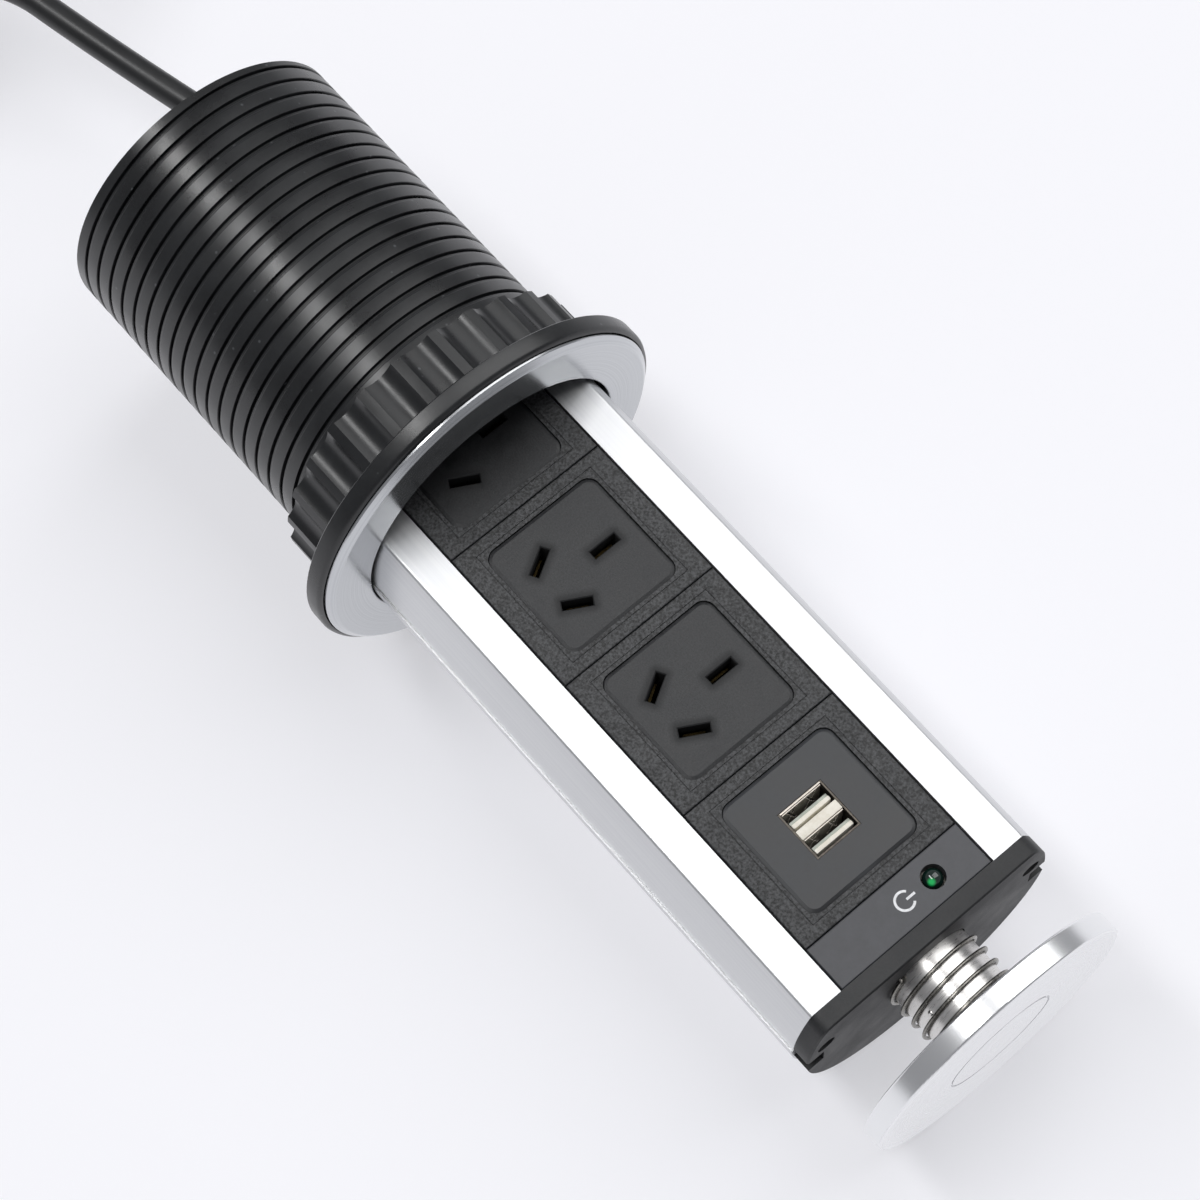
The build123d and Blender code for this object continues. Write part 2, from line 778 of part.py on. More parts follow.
# Foot, friction pads and screws
def build_foot(port_x, port_y):
    with BuildPart() as foot:
        with BuildSketch(Plane.XY.offset(foot_bottom)):
            Circle(foot_radius)
            with Locations((0, -tower_front - foot_radius)):
                Rectangle(4 * foot_radius, 2 * foot_radius, mode=Mode.SUBTRACT)
            with Locations((gland_x, gland_y)):
                Circle(gland_thread_radius + fit_gap, mode=Mode.SUBTRACT)
            with Locations((-port_x, port_y), (port_x, port_y)):
                Circle(screw_radius + fit_gap / 2, mode=Mode.SUBTRACT)
        extrude(amount=foot_height)
        chamfer(foot.edges().group_by(Axis.Z)[0].sort_by(Edge.length)[-1], length=foot_edge_round)
        with BuildSketch(Plane.XY.offset(foot_bottom)):
            with Locations((-port_x, port_y), (port_x, port_y)):
                Circle(screw_head_radius + fit_gap)
        extrude(amount=screw_head_height, mode=Mode.SUBTRACT)
        for angle in friction_pad_angles:
            with BuildSketch(Plane.XY.offset(foot_bottom + (foot_height - friction_pad_height) / 2)):
                pad_outline(angle, foot_radius + cut_overrun, friction_pad_width + 2 * fit_gap)
            extrude(amount=friction_pad_height, mode=Mode.SUBTRACT)
    save(foot, "foot")
    for index, angle in enumerate(friction_pad_angles, start=1):
        with BuildPart() as pad:
            with BuildSketch(Plane.XY.offset(foot_bottom + (foot_height - friction_pad_height) / 2)):
                pad_outline(angle, foot_radius + friction_pad_proud, friction_pad_width)
            extrude(amount=friction_pad_height)
        save(pad, f"friction_pad_{index}")
    for index, side in enumerate((-1, 1), start=1):
        with BuildPart() as screw:
            with BuildSketch(Plane.XY.offset(foot_bottom)):
                with Locations((side * port_x, port_y)):
                    Circle(screw_head_radius)
            extrude(amount=screw_head_height)
            with BuildSketch(Plane.XY.offset(foot_bottom + screw_head_height)):
                with Locations((side * port_x, port_y)):
                    Circle(screw_radius)
            extrude(amount=2 * foot_height)
        save(screw, f"foot_screw_{index}")


def pad_outline(angle, outer, width):
    """A short arc strip about the tower's axis, from the pad's seat out to a radius."""
    Circle(outer)
    Circle(foot_radius - friction_pad_thickness, mode=Mode.SUBTRACT)
    with Locations(Location(polar(foot_radius, angle), angle)):
        Rectangle(4 * friction_pad_thickness, width, mode=Mode.INTERSECT)


def polar(radius, angle):
    return (radius * math.cos(math.radians(angle)), radius * math.sin(math.radians(angle)))


# Cap, neck and the sleeve that guides it
def build_cap():
    with BuildPart() as neck_sleeve:
        with BuildSketch(Plane.XY.offset(plate_bottom - guide_length)):
            Circle(neck_collar_radius + neck_gap + guide_wall)
            Circle(neck_collar_radius + neck_gap, mode=Mode.SUBTRACT)
        extrude(amount=guide_length)
    save(neck_sleeve, "neck_sleeve")
    collar_top = plate_bottom - module_gap
    with BuildPart() as cap_neck:
        with BuildSketch(Plane.XY.offset(plate_bottom - neck_depth)):
            Circle(neck_radius)
        extrude(amount=cap_bottom - plate_bottom + neck_depth)
        with BuildSketch(Plane.XY.offset(collar_top - neck_collar_height)):
            Circle(neck_collar_radius)
        extrude(amount=neck_collar_height)
        with BuildSketch(Plane.XY.offset(plate_bottom - neck_depth)):
            Circle(neck_radius - neck_wall)
        extrude(amount=cap_bottom - plate_bottom + neck_depth - cap_boss_depth, mode=Mode.SUBTRACT)
        with BuildSketch(Plane.XY.offset(cap_bottom)):
            Circle(cap_screw_radius + fit_gap / 2)
        extrude(amount=-cap_boss_depth, mode=Mode.SUBTRACT)
    save(cap_neck, "cap_neck")
    screw_bottom = cap_bottom - cap_boss_depth - cap_screw_head_height
    with BuildPart() as cap_screw:
        with BuildSketch(Plane.XY.offset(screw_bottom)):
            Circle(cap_screw_head_radius)
        extrude(amount=cap_screw_head_height)
        with BuildSketch(Plane.XY.offset(cap_bottom - cap_boss_depth)):
            Circle(cap_screw_radius)
        extrude(amount=cap_screw_length)
    save(cap_screw, "cap_screw")
    with BuildPart() as cap_disc:
        with BuildSketch(Plane.XY.offset(cap_bottom)):
            Circle(cap_radius)
        extrude(amount=cap_thickness)
        rims = cap_disc.edges().filter_by(GeomType.CIRCLE)
        fillet(rims, radius=cap_edge_round)
        with BuildSketch(Plane.XY.offset(cap_top)):
            Circle(cap_groove_radius)
            Circle(cap_groove_radius - cap_groove_width, mode=Mode.SUBTRACT)
        extrude(amount=-cap_groove_depth, mode=Mode.SUBTRACT)
        with BuildSketch(Plane.XY.offset(cap_bottom)):
            Circle(cap_screw_radius + fit_gap / 2)
        extrude(amount=cap_screw_length - cap_boss_depth, mode=Mode.SUBTRACT)
        with BuildSketch(Plane.XY.offset(cap_bottom)):
            with Locations(spring_hole_centre(spring_turns)):
                Circle(spring_hole_radius)
        extrude(amount=spring_hole_depth(), mode=Mode.SUBTRACT)
    save(cap_disc, "cap_disc")


# Turns made of arcs: each quarter turn is two tangent arcs through space
def biarc(start, start_way, end, end_way):
    """The joint between two tangent arcs that carry one point and direction to the next."""
    chord = end - start
    ways = start_way + end_way
    square = 2 * (1 - start_way.dot(end_way))
    across = chord.dot(ways)
    reach = chord.dot(chord)
    if square < 1e-9:
        handle = reach / (2 * across)
    else:
        handle = (-across + math.sqrt(across**2 + square * reach)) / square
    first = start + start_way * handle
    second = end - end_way * handle
    return (first + second) / 2, (second - first).normalized()


def arc_pair(start, start_way, end, end_way):
    joint, joint_way = biarc(start, start_way, end, end_way)
    TangentArc(start, joint, tangent=start_way)
    TangentArc(joint, end, tangent=joint_way)


def least_gap(points, diameter, skip):
    """The least clear space between stretches of a wire that lie a skip apart along it."""
    least = None
    for first in range(len(points)):
        for second in range(first + skip, len(points)):
            distance = (points[first] - points[second]).length
            if least is None or distance < least:
                least = distance
    return least - diameter


# Cap spring
def spring_first_height():
    return plate_top + spring_wire / 2 + spring_lay_gap


def spring_last_height():
    return cap_bottom - spring_wire / 2 - spring_lay_gap


def spring_hole_depth():
    return spring_bend_radius + spring_tail - spring_wire / 2 - spring_lay_gap


def spring_point(turn):
    angle = math.radians(spring_start_angle) + 2 * math.pi * turn
    rise = spring_last_height() - spring_first_height()
    height = spring_first_height() + rise * turn / spring_turns
    return Vector(spring_radius * math.cos(angle), spring_radius * math.sin(angle), height)


def spring_way(turn):
    angle = math.radians(spring_start_angle) + 2 * math.pi * turn
    rise = (spring_last_height() - spring_first_height()) / spring_turns
    lead = rise / (2 * math.pi)
    way = Vector(-spring_radius * math.sin(angle), spring_radius * math.cos(angle), lead)
    return way.normalized()


def level(way):
    return Vector(way.X, way.Y, 0).normalized()


def spring_tail_place(turn):
    """Where the wire's end stands upright: one bend past the first or last turn."""
    onward = 1 if turn else -1
    return spring_point(turn) + level(spring_way(turn)) * (onward * spring_bend_radius)


def spring_hole_centre(turn):
    onward = 1 if turn else -1
    offset_along = spring_bend_radius + spring_wire / 2 + fit_gap - spring_hole_radius
    place = spring_point(turn) + level(spring_way(turn)) * (onward * offset_along)
    return (place.X, place.Y)


def build_spring():
    quarter = 1 / 4
    count = round(spring_turns / quarter)
    down = Vector(0, 0, -1)
    up = Vector(0, 0, 1)
    foot_bend = spring_tail_place(0) - Vector(0, 0, spring_bend_radius)
    head_bend = spring_tail_place(spring_turns) + Vector(0, 0, spring_bend_radius)
    foot_end = foot_bend + down * spring_tail
    head_end = head_bend + up * spring_tail
    with BuildPart() as spring:
        with BuildLine() as path:
            Line(foot_end, foot_bend)
            arc_pair(foot_bend, up, spring_point(0), spring_way(0))
            for step in range(count):
                turn = step * quarter
                following = turn + quarter
                arc_pair(
                    spring_point(turn),
                    spring_way(turn),
                    spring_point(following),
                    spring_way(following),
                )
            arc_pair(spring_point(spring_turns), spring_way(spring_turns), head_bend, up)
            Line(head_bend, head_end)
        with BuildSketch(Plane(origin=foot_end, z_dir=up)):
            Circle(spring_wire / 2)
        sweep(path=path.wires()[0])
    save(spring, "cap_spring")
    samples_per_turn = 60
    total = round(spring_turns * samples_per_turn)
    points = [spring_point(step / samples_per_turn) for step in range(total + 1)]
    gap = least_gap(points, spring_wire, samples_per_turn * 3 // 4)
    print(f"spring least gap {gap:.2f} volume {spring.part.volume:.1f}")


# Supply lead: free stretches, coil, gland, tie and plug
def coil_radius(turn):
    """Steady spiral in, an easy reversal over the climb, then steady spiral out."""
    climb_end = coil_inner_turns + coil_climb_turns
    if turn <= coil_inner_turns:
        return coil_outer_radius - coil_pitch * turn
    least = coil_outer_radius - coil_pitch * coil_inner_turns
    if turn <= climb_end:
        along = turn - coil_inner_turns
        return least - coil_pitch * along + coil_pitch * along**2 / coil_climb_turns
    return least + coil_pitch * (turn - climb_end)


def coil_depth(turn):
    """The first layer, an even climb, then the second layer behind it."""
    along = (turn - coil_inner_turns) / coil_climb_turns
    along = min(max(along, 0), 1)
    return coil_y + coil_layer_pitch * along**2 * (3 - 2 * along)


def coil_point(turn):
    angle = math.radians(coil_start_angle) - 2 * math.pi * turn
    radius = coil_radius(turn)
    return Vector(
        coil_centre_x + radius * math.cos(angle),
        coil_depth(turn),
        coil_centre_z + radius * math.sin(angle),
    )


def coil_way(turn):
    step = 1 / 4096
    return (coil_point(turn + step) - coil_point(turn - step)).normalized()


coil_turns = coil_inner_turns + coil_climb_turns + coil_outer_turns

# Free stretch from the gland to the coil, then from the coil to the plug
lead_points = [
    (-18.0, 12.0, -73.4),
    (-18.0, 12.0, -97.0),
    (-17.2, 12.0, -122.0),
    (-10.6, 12.0, -150.0),
    (-4.6, 12.0, -178.0),
    (-1.4, 12.0, -195.0),
]
lead_join_run = 19.0
tail_points = [
    (18.2, 20.2, -326.0),
    (18.2, 20.2, -345.0),
]


def route_radii(points):
    """Bend radius at each inner point, from the shorter run beside it and half the turn."""
    reach_share = 0.45
    radii = []
    for before, here, after in zip(points, points[1:], points[2:]):
        run_in = Vector(*here) - Vector(*before)
        run_out = Vector(*after) - Vector(*here)
        half_turn = math.radians(run_in.get_angle(run_out)) / 2
        radii.append(reach_share * min(run_in.length, run_out.length) / math.tan(half_turn))
    return radii


def build_free_stretch(points, label):
    radii = route_radii(points)
    first_way = Vector(*points[1]) - Vector(*points[0])
    with BuildPart() as lead:
        with BuildLine() as path:
            FilletPolyline(*points, radius=radii)
        with BuildSketch(Plane(origin=points[0], z_dir=first_way)):
            Circle(lead_diameter / 2)
        sweep(path=path.wires()[0])
    save(lead, label)
    length = path.wires()[0].length
    expected = math.pi * (lead_diameter / 2) ** 2 * length
    print(f"{label} length {length:.1f} volume share {lead.part.volume / expected:.4f}")
    print(f"{label} radii", [round(radius) for radius in radii])
    return length


def build_coil():
    quarter = 1 / 4
    count = round(coil_turns / quarter)
    with BuildPart() as coil:
        with BuildLine() as path:
            for step in range(count):
                turn = step * quarter
                following = turn + quarter
                arc_pair(
                    coil_point(turn), coil_way(turn), coil_point(following), coil_way(following)
                )
        with BuildSketch(Plane(origin=coil_point(0), z_dir=coil_way(0))):
            Circle(lead_diameter / 2)
        sweep(path=path.wires()[0])
    save(coil, "cord_coil")
    samples_per_turn = 60
    total = round(coil_turns * samples_per_turn)
    points = [coil_point(step / samples_per_turn) for step in range(total + 1)]
    gap = least_gap(points, lead_diameter, samples_per_turn // 2)
    length = path.wires()[0].length
    print(f"cord_coil length {length:.1f} least gap {gap:.2f}")
    return length


def build_gland():
    with BuildPart() as cord_gland:
        with BuildSketch(Plane.XY.offset(foot_bottom)):
            with Locations((gland_x, gland_y)):
                RegularPolygon(gland_nut_radius, 6)
        extrude(amount=-gland_nut_height)
        with BuildSketch(Plane.XY.offset(foot_bottom)):
            with Locations((gland_x, gland_y)):
                Circle(gland_thread_radius)
        extrude(amount=foot_height + gland_locknut_height)
        with BuildSketch(Plane.XY.offset(foot_bottom - gland_nut_height)):
            with Locations((gland_x, gland_y)):
                Circle(gland_boot_radius)
        with BuildSketch(Plane.XY.offset(gland_bottom)):
            with Locations((gland_x, gland_y)):
                Circle(gland_boot_end_radius)
        loft()
    save(cord_gland, "cord_gland")
    with BuildPart() as gland_locknut:
        with BuildSketch(Plane.XY.offset(tower_bottom)):
            with Locations((gland_x, gland_y)):
                RegularPolygon(gland_nut_radius, 6)
                Circle(gland_thread_radius + fit_gap / 2, mode=Mode.SUBTRACT)
        extrude(amount=gland_locknut_height)
    save(gland_locknut, "gland_locknut")


def build_tie():
    """A strap round every strand where the coil is lowest."""
    lowest = (coil_start_angle + 90) / 360
    front_radii = [coil_radius(lowest + turn) for turn in range(3)]
    inner = min(front_radii) - lead_diameter / 2 - tie_gap
    outer = max(front_radii) + lead_diameter / 2 + tie_gap
    height = outer - inner
    depth = coil_layer_pitch + lead_diameter + tie_gap
    middle_y = coil_y + coil_layer_pitch / 2
    corner = (lead_diameter + tie_gap) / 2
    with BuildPart() as cord_tie:
        with BuildSketch(Plane.YZ.offset(coil_centre_x - tie_width / 2)):
            with Locations((middle_y, coil_centre_z - (inner + outer) / 2)):
                RectangleRounded(
                    depth + 2 * tie_thickness, height + 2 * tie_thickness, corner + tie_thickness
                )
                RectangleRounded(depth, height, corner, mode=Mode.SUBTRACT)
        extrude(amount=tie_width)
    save(cord_tie, "cord_tie")


def build_plug(place):
    top = Plane(origin=place, x_dir=(1, 0, 0), z_dir=(0, 0, -1))
    shoulder = top.offset(plug_boot_length)
    body = shoulder.offset(plug_shoulder_height)
    face = body.offset(plug_body_height)
    neck_width = plug_neck_share * plug_width
    neck_depth = plug_neck_share * plug_depth
    with BuildPart() as plug_body:
        with BuildSketch(top):
            Circle(plug_boot_end_radius)
        with BuildSketch(shoulder):
            Circle(plug_boot_radius)
        loft()
        with BuildSketch(shoulder):
            RectangleRounded(neck_width, neck_depth, plug_neck_share * plug_corner)
        with BuildSketch(body):
            RectangleRounded(plug_width, plug_depth, plug_corner)
        loft()
        with BuildSketch(body):
            RectangleRounded(plug_width, plug_depth, plug_corner)
        with BuildSketch(face):
            RectangleRounded(
                plug_face_share * plug_width,
                plug_face_share * plug_depth,
                plug_face_share * plug_corner,
            )
        loft()
    save(plug_body, "plug_body")
    half = pin_spacing / 2
    pins = (
        ("live", -half, plug_pin_offset, plug_pin_length, -slot_tilt),
        ("neutral", half, plug_pin_offset, plug_pin_length, slot_tilt),
        ("earth", 0, -plug_earth_offset, plug_earth_length, 0),
    )
    for name, x, y, length, angle in pins:
        with BuildPart() as pin:
            with BuildSketch(face):
                with Locations(Location((x, y), angle)):
                    Rectangle(plug_pin_thickness, plug_pin_width)
            extrude(amount=length)
        save(pin, f"plug_pin_{name}")


def build_supply():
    start = coil_point(0)
    before = start - coil_way(0) * lead_join_run
    finish = coil_point(coil_turns)
    after = finish + coil_way(coil_turns) * lead_join_run
    lead_route = lead_points + [tuple(before), tuple(start)]
    tail_route = [tuple(finish), tuple(after)] + tail_points
    length = build_free_stretch(lead_route, "power_cord")
    length += build_coil()
    length += build_free_stretch(tail_route, "cord_tail")
    print(f"lead in all {length:.0f}")
    build_gland()
    build_tie()
    build_plug(tail_route[-1])


build_barrel()
build_bezel_ring()
build_clamp_washer()
build_lock_ring()
port_place = build_profiles()
build_rear_shell()
bar_back, bar_bottom = build_sockets()
build_terminal_block(bar_back, bar_bottom)
build_usb()
build_led()
build_lower_panel()
build_end_plate(*port_place)
build_foot(*port_place)
build_cap()
build_spring()
build_supply()
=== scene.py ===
import math

import bpy
from mathutils import Matrix, Vector


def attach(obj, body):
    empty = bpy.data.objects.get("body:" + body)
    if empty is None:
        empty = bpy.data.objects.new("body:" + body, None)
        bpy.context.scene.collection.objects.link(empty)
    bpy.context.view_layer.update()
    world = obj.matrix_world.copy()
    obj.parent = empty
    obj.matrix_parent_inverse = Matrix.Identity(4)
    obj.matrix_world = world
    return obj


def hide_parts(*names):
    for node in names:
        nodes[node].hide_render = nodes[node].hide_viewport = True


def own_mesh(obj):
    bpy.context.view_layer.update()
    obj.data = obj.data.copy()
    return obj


# Pop up desk socket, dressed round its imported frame. +Z is the way the tower rises and -Y
# the side that the sockets face. Sizes are in millimetres and pass through mm() or place().

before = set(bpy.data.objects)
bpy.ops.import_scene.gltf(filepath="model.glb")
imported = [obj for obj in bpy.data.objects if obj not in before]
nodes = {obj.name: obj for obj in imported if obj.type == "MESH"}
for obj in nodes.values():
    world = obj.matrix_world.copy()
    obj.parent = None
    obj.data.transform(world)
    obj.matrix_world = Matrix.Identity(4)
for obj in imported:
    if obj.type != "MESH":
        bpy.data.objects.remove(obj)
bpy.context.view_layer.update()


def mm(value):
    return value / 1000


def place(x, y, z):
    """A point given in millimetres."""
    return Vector((mm(x), mm(y), mm(z)))


# Driving sizes, as the frame has them
flange_radius = 51.6
flange_height = 5.0
flange_chamfer = 1.2
seat_inner_radius = 45.2
seat_relief = 0.5
sleeve_radius = 40.0
sleeve_bore_radius = 38.2
sleeve_length = 106.8
thread_pitch = 4.9
thread_first_groove = -20.9
trim_radius = 50.0
trim_bore_radius = 37.4
trim_seat_height = 3.2
trim_seat_radius = 50.3
tower_front = 18.2
first_seam = -20.4
module_pitch = 41.45
socket_count = 3
outlet_module = 41.35
led_bottom = first_seam + socket_count * module_pitch + outlet_module
led_height = 12.1
led_middle = led_bottom + led_height / 2
plate_thickness = 4.85
plate_top = led_bottom + led_height + plate_thickness
cap_gap = 18.25
cap_bottom = plate_top + cap_gap
slot_length = 7.5
slot_width = 2.3
# For the live, neutral and earth pins: across the module, along the tower, and turned
pin_slots = ((7.1, 6.86, 30.0), (7.1, -6.86, -30.0), (-7.1, 0.0, 0.0))
neck_radius = 11.0
outlet_inner = 12.8
outlet_inner_width = 12.0
outlet_divider = 2.6
outlet_depth = 12.0
divider_front = -17.9
tongue_width = 11.1
tongue_front = -17.2
lamp_offset = 10.2
lead_diameter = 7.5
# Vertices closer than this are merged
weld_gap = 0.005


# Working in object and edit mode
def deselect_all():
    bpy.ops.object.select_all(action="DESELECT")


def use_only(piece):
    deselect_all()
    piece.select_set(True)
    bpy.context.view_layer.objects.active = piece


def edit_all(piece):
    """Open a piece in edit mode with all of it selected."""
    use_only(piece)
    bpy.ops.object.mode_set(mode="EDIT")
    bpy.ops.mesh.select_all(action="SELECT")


def settle(piece):
    """Move a piece's place into its mesh, so that its object sits at the origin."""
    use_only(piece)
    bpy.ops.object.transform_apply(location=True, rotation=True, scale=True)


def outward(piece):
    """Merge a piece's doubles and turn its faces outwards."""
    edit_all(piece)
    bpy.ops.mesh.remove_doubles(threshold=mm(weld_gap))
    bpy.ops.mesh.normals_make_consistent(inside=False)
    bpy.ops.object.mode_set(mode="OBJECT")


def smooth(piece, degrees=35):
    use_only(piece)
    bpy.ops.object.shade_smooth_by_angle(angle=math.radians(degrees))


def dress(piece, material):
    piece.data.materials.clear()
    piece.data.materials.append(material)


def outline_mesh(name, points, closed):
    """A flat outline in the XZ plane, given as radius and height in millimetres."""
    mesh = bpy.data.meshes.new(name)
    count = len(points)
    edges = [(step, step + 1) for step in range(count - 1)]
    if closed:
        edges.append((count - 1, 0))
    mesh.from_pydata([place(radius, 0, height) for radius, height in points], edges, [])
    piece = bpy.data.objects.new(name, mesh)
    bpy.context.scene.collection.objects.link(piece)
    return piece


def turn_round(piece, steps, axis=(0, 0, 1), degrees=360.0):
    """Spin an outline round an axis through the origin."""
    edit_all(piece)
    bpy.ops.mesh.spin(
        steps=steps, angle=math.radians(degrees), center=(0, 0, 0), axis=axis
    )
    bpy.ops.object.mode_set(mode="OBJECT")
    outward(piece)


def join(first, *others):
    deselect_all()
    for piece in (first, *others):
        piece.select_set(True)
    bpy.context.view_layer.objects.active = first
    bpy.ops.object.join()


def apply_modifier(piece, kind, **settings):
    use_only(piece)
    bpy.ops.object.modifier_add(type=kind)
    modifier = piece.modifiers[-1]
    for key, value in settings.items():
        setattr(modifier, key, value)
    bpy.ops.object.modifier_apply(modifier=modifier.name)


def round_wire(name, route, diameter, resolution, round_resolution):
    """A round wire on a smooth curve near a route of points in millimetres."""
    curve = bpy.data.curves.new(name, "CURVE")
    curve.dimensions = "3D"
    curve.resolution_u = resolution
    curve.bevel_depth = mm(diameter / 2)
    curve.bevel_resolution = round_resolution
    curve.use_fill_caps = True
    spline = curve.splines.new("NURBS")
    spline.points.add(len(route) - 1)
    for knot, point in zip(spline.points, route):
        knot.co = (*(place(*point)), 1.0)
    spline.order_u = 3
    spline.use_endpoint_u = True
    wire = bpy.data.objects.new(name, curve)
    bpy.context.scene.collection.objects.link(wire)
    return wire


# Materials
def srgb(code):
    """Turn a six digit sRGB hex value to linear red, green, blue and alpha."""
    channels = [int(code[start:start + 2], 16) / 255 for start in (0, 2, 4)]
    linear = [
        c / 12.92 if c <= 0.04045 else ((c + 0.055) / 1.055) ** 2.4 for c in channels
    ]
    return (*linear, 1.0)


def add_node(tree, kind, settings=None, inputs=None, links=None):
    """Add a node, set its properties and sockets, and link its inputs from other nodes."""
    node = tree.nodes.new(kind)
    for key, value in (settings or {}).items():
        setattr(node, key, value)
    for key, value in (inputs or {}).items():
        node.inputs[key].default_value = value
    for key, (source, output) in (links or {}).items():
        tree.links.new(source.outputs[output], node.inputs[key])
    return node


def new_material(name, inputs):
    material = bpy.data.materials.new(name)
    material.use_nodes = True
    tree = material.node_tree
    surface = tree.nodes["Principled BSDF"]
    for key, value in inputs.items():
        surface.inputs[key].default_value = value
    where = add_node(tree, "ShaderNodeTexCoord")
    return material, tree, surface, where


def plastic_finish(
    name, dark, light, rough, grain_size, grain_depth, patch_size, speckle, ior=1.53
):
    """A plastic skin: grain of a real size in millimetres, over soft patches from rubbing.

    speckle is the share of the colour's change that follows the grain, and the rest follows
    the patches, which also move the roughness between its two values.
    """
    material, tree, surface, where = new_material(name, {"IOR": ior})
    grain = add_node(
        tree,
        "ShaderNodeTexNoise",
        inputs={"Scale": 1 / mm(grain_size), "Detail": 3.0, "Roughness": 0.6},
        links={"Vector": (where, "Object")},
    )
    bump = add_node(
        tree,
        "ShaderNodeBump",
        inputs={"Strength": 1.0, "Distance": mm(grain_depth)},
        links={"Height": (grain, "Fac")},
    )
    patches = add_node(
        tree,
        "ShaderNodeTexNoise",
        inputs={"Scale": 1 / mm(patch_size), "Detail": 5.0, "Roughness": 0.6},
        links={"Vector": (where, "Object")},
    )
    share = add_node(
        tree,
        "ShaderNodeMix",
        inputs={0: speckle},
        links={2: (patches, "Fac"), 3: (grain, "Fac")},
    )
    tone = add_node(
        tree,
        "ShaderNodeMapRange",
        inputs={"From Min": 0.38, "From Max": 0.64},
        links={"Value": (share, 0)},
    )
    colour = add_node(
        tree,
        "ShaderNodeMix",
        settings={"data_type": "RGBA"},
        inputs={6: srgb(dark), 7: srgb(light)},
        links={0: (tone, "Result")},
    )
    gloss = add_node(
        tree,
        "ShaderNodeMapRange",
        inputs={"From Min": 0.35, "From Max": 0.65, "To Min": rough[0], "To Max": rough[1]},
        links={"Value": (patches, "Fac")},
    )
    tree.links.new(colour.outputs[2], surface.inputs["Base Color"])
    tree.links.new(gloss.outputs["Result"], surface.inputs["Roughness"])
    tree.links.new(bump.outputs["Normal"], surface.inputs["Normal"])
    return material


def metal_finish(name, dark, light, rough, line_size, line_depth, stretch=(1, 1, 1)):
    """A metal skin: tool or drawing lines of a real width in millimetres.

    They run along the axes of least stretch.
    """
    material, tree, surface, where = new_material(name, {"Metallic": 1.0})
    spread = add_node(
        tree,
        "ShaderNodeMapping",
        inputs={"Scale": stretch},
        links={"Vector": (where, "Object")},
    )
    lines = add_node(
        tree,
        "ShaderNodeTexNoise",
        inputs={"Scale": 1 / mm(line_size), "Detail": 3.0, "Roughness": 0.6},
        links={"Vector": (spread, "Vector")},
    )
    bump = add_node(
        tree,
        "ShaderNodeBump",
        inputs={"Strength": 1.0, "Distance": mm(line_depth)},
        links={"Height": (lines, "Fac")},
    )
    tone = add_node(
        tree,
        "ShaderNodeMapRange",
        inputs={"From Min": 0.35, "From Max": 0.65},
        links={"Value": (lines, "Fac")},
    )
    colour = add_node(
        tree,
        "ShaderNodeMix",
        settings={"data_type": "RGBA"},
        inputs={6: srgb(dark), 7: srgb(light)},
        links={0: (tone, "Result")},
    )
    gloss = add_node(
        tree,
        "ShaderNodeMapRange",
        inputs={"From Min": 0.35, "From Max": 0.65, "To Min": rough[0], "To Max": rough[1]},
        links={"Value": (lines, "Fac")},
    )
    tree.links.new(colour.outputs[2], surface.inputs["Base Color"])
    tree.links.new(gloss.outputs["Result"], surface.inputs["Roughness"])
    tree.links.new(bump.outputs["Normal"], surface.inputs["Normal"])
    return material


def lay_rings(material):
    """Turn a metal's lines to rings round the Z axis, as a lathe leaves them."""
    tree = material.node_tree
    where = tree.nodes["Texture Coordinate"]
    spread = tree.nodes["Mapping"]
    flat = add_node(
        tree,
        "ShaderNodeVectorMath",
        settings={"operation": "MULTIPLY"},
        inputs={1: (1, 1, 0)},
        links={0: (where, "Object")},
    )
    reach = add_node(
        tree,
        "ShaderNodeVectorMath",
        settings={"operation": "LENGTH"},
        links={0: (flat, "Vector")},
    )
    ring = add_node(tree, "ShaderNodeCombineXYZ", links={"X": (reach, "Value")})
    tree.links.new(ring.outputs["Vector"], spread.inputs["Vector"])
    return material


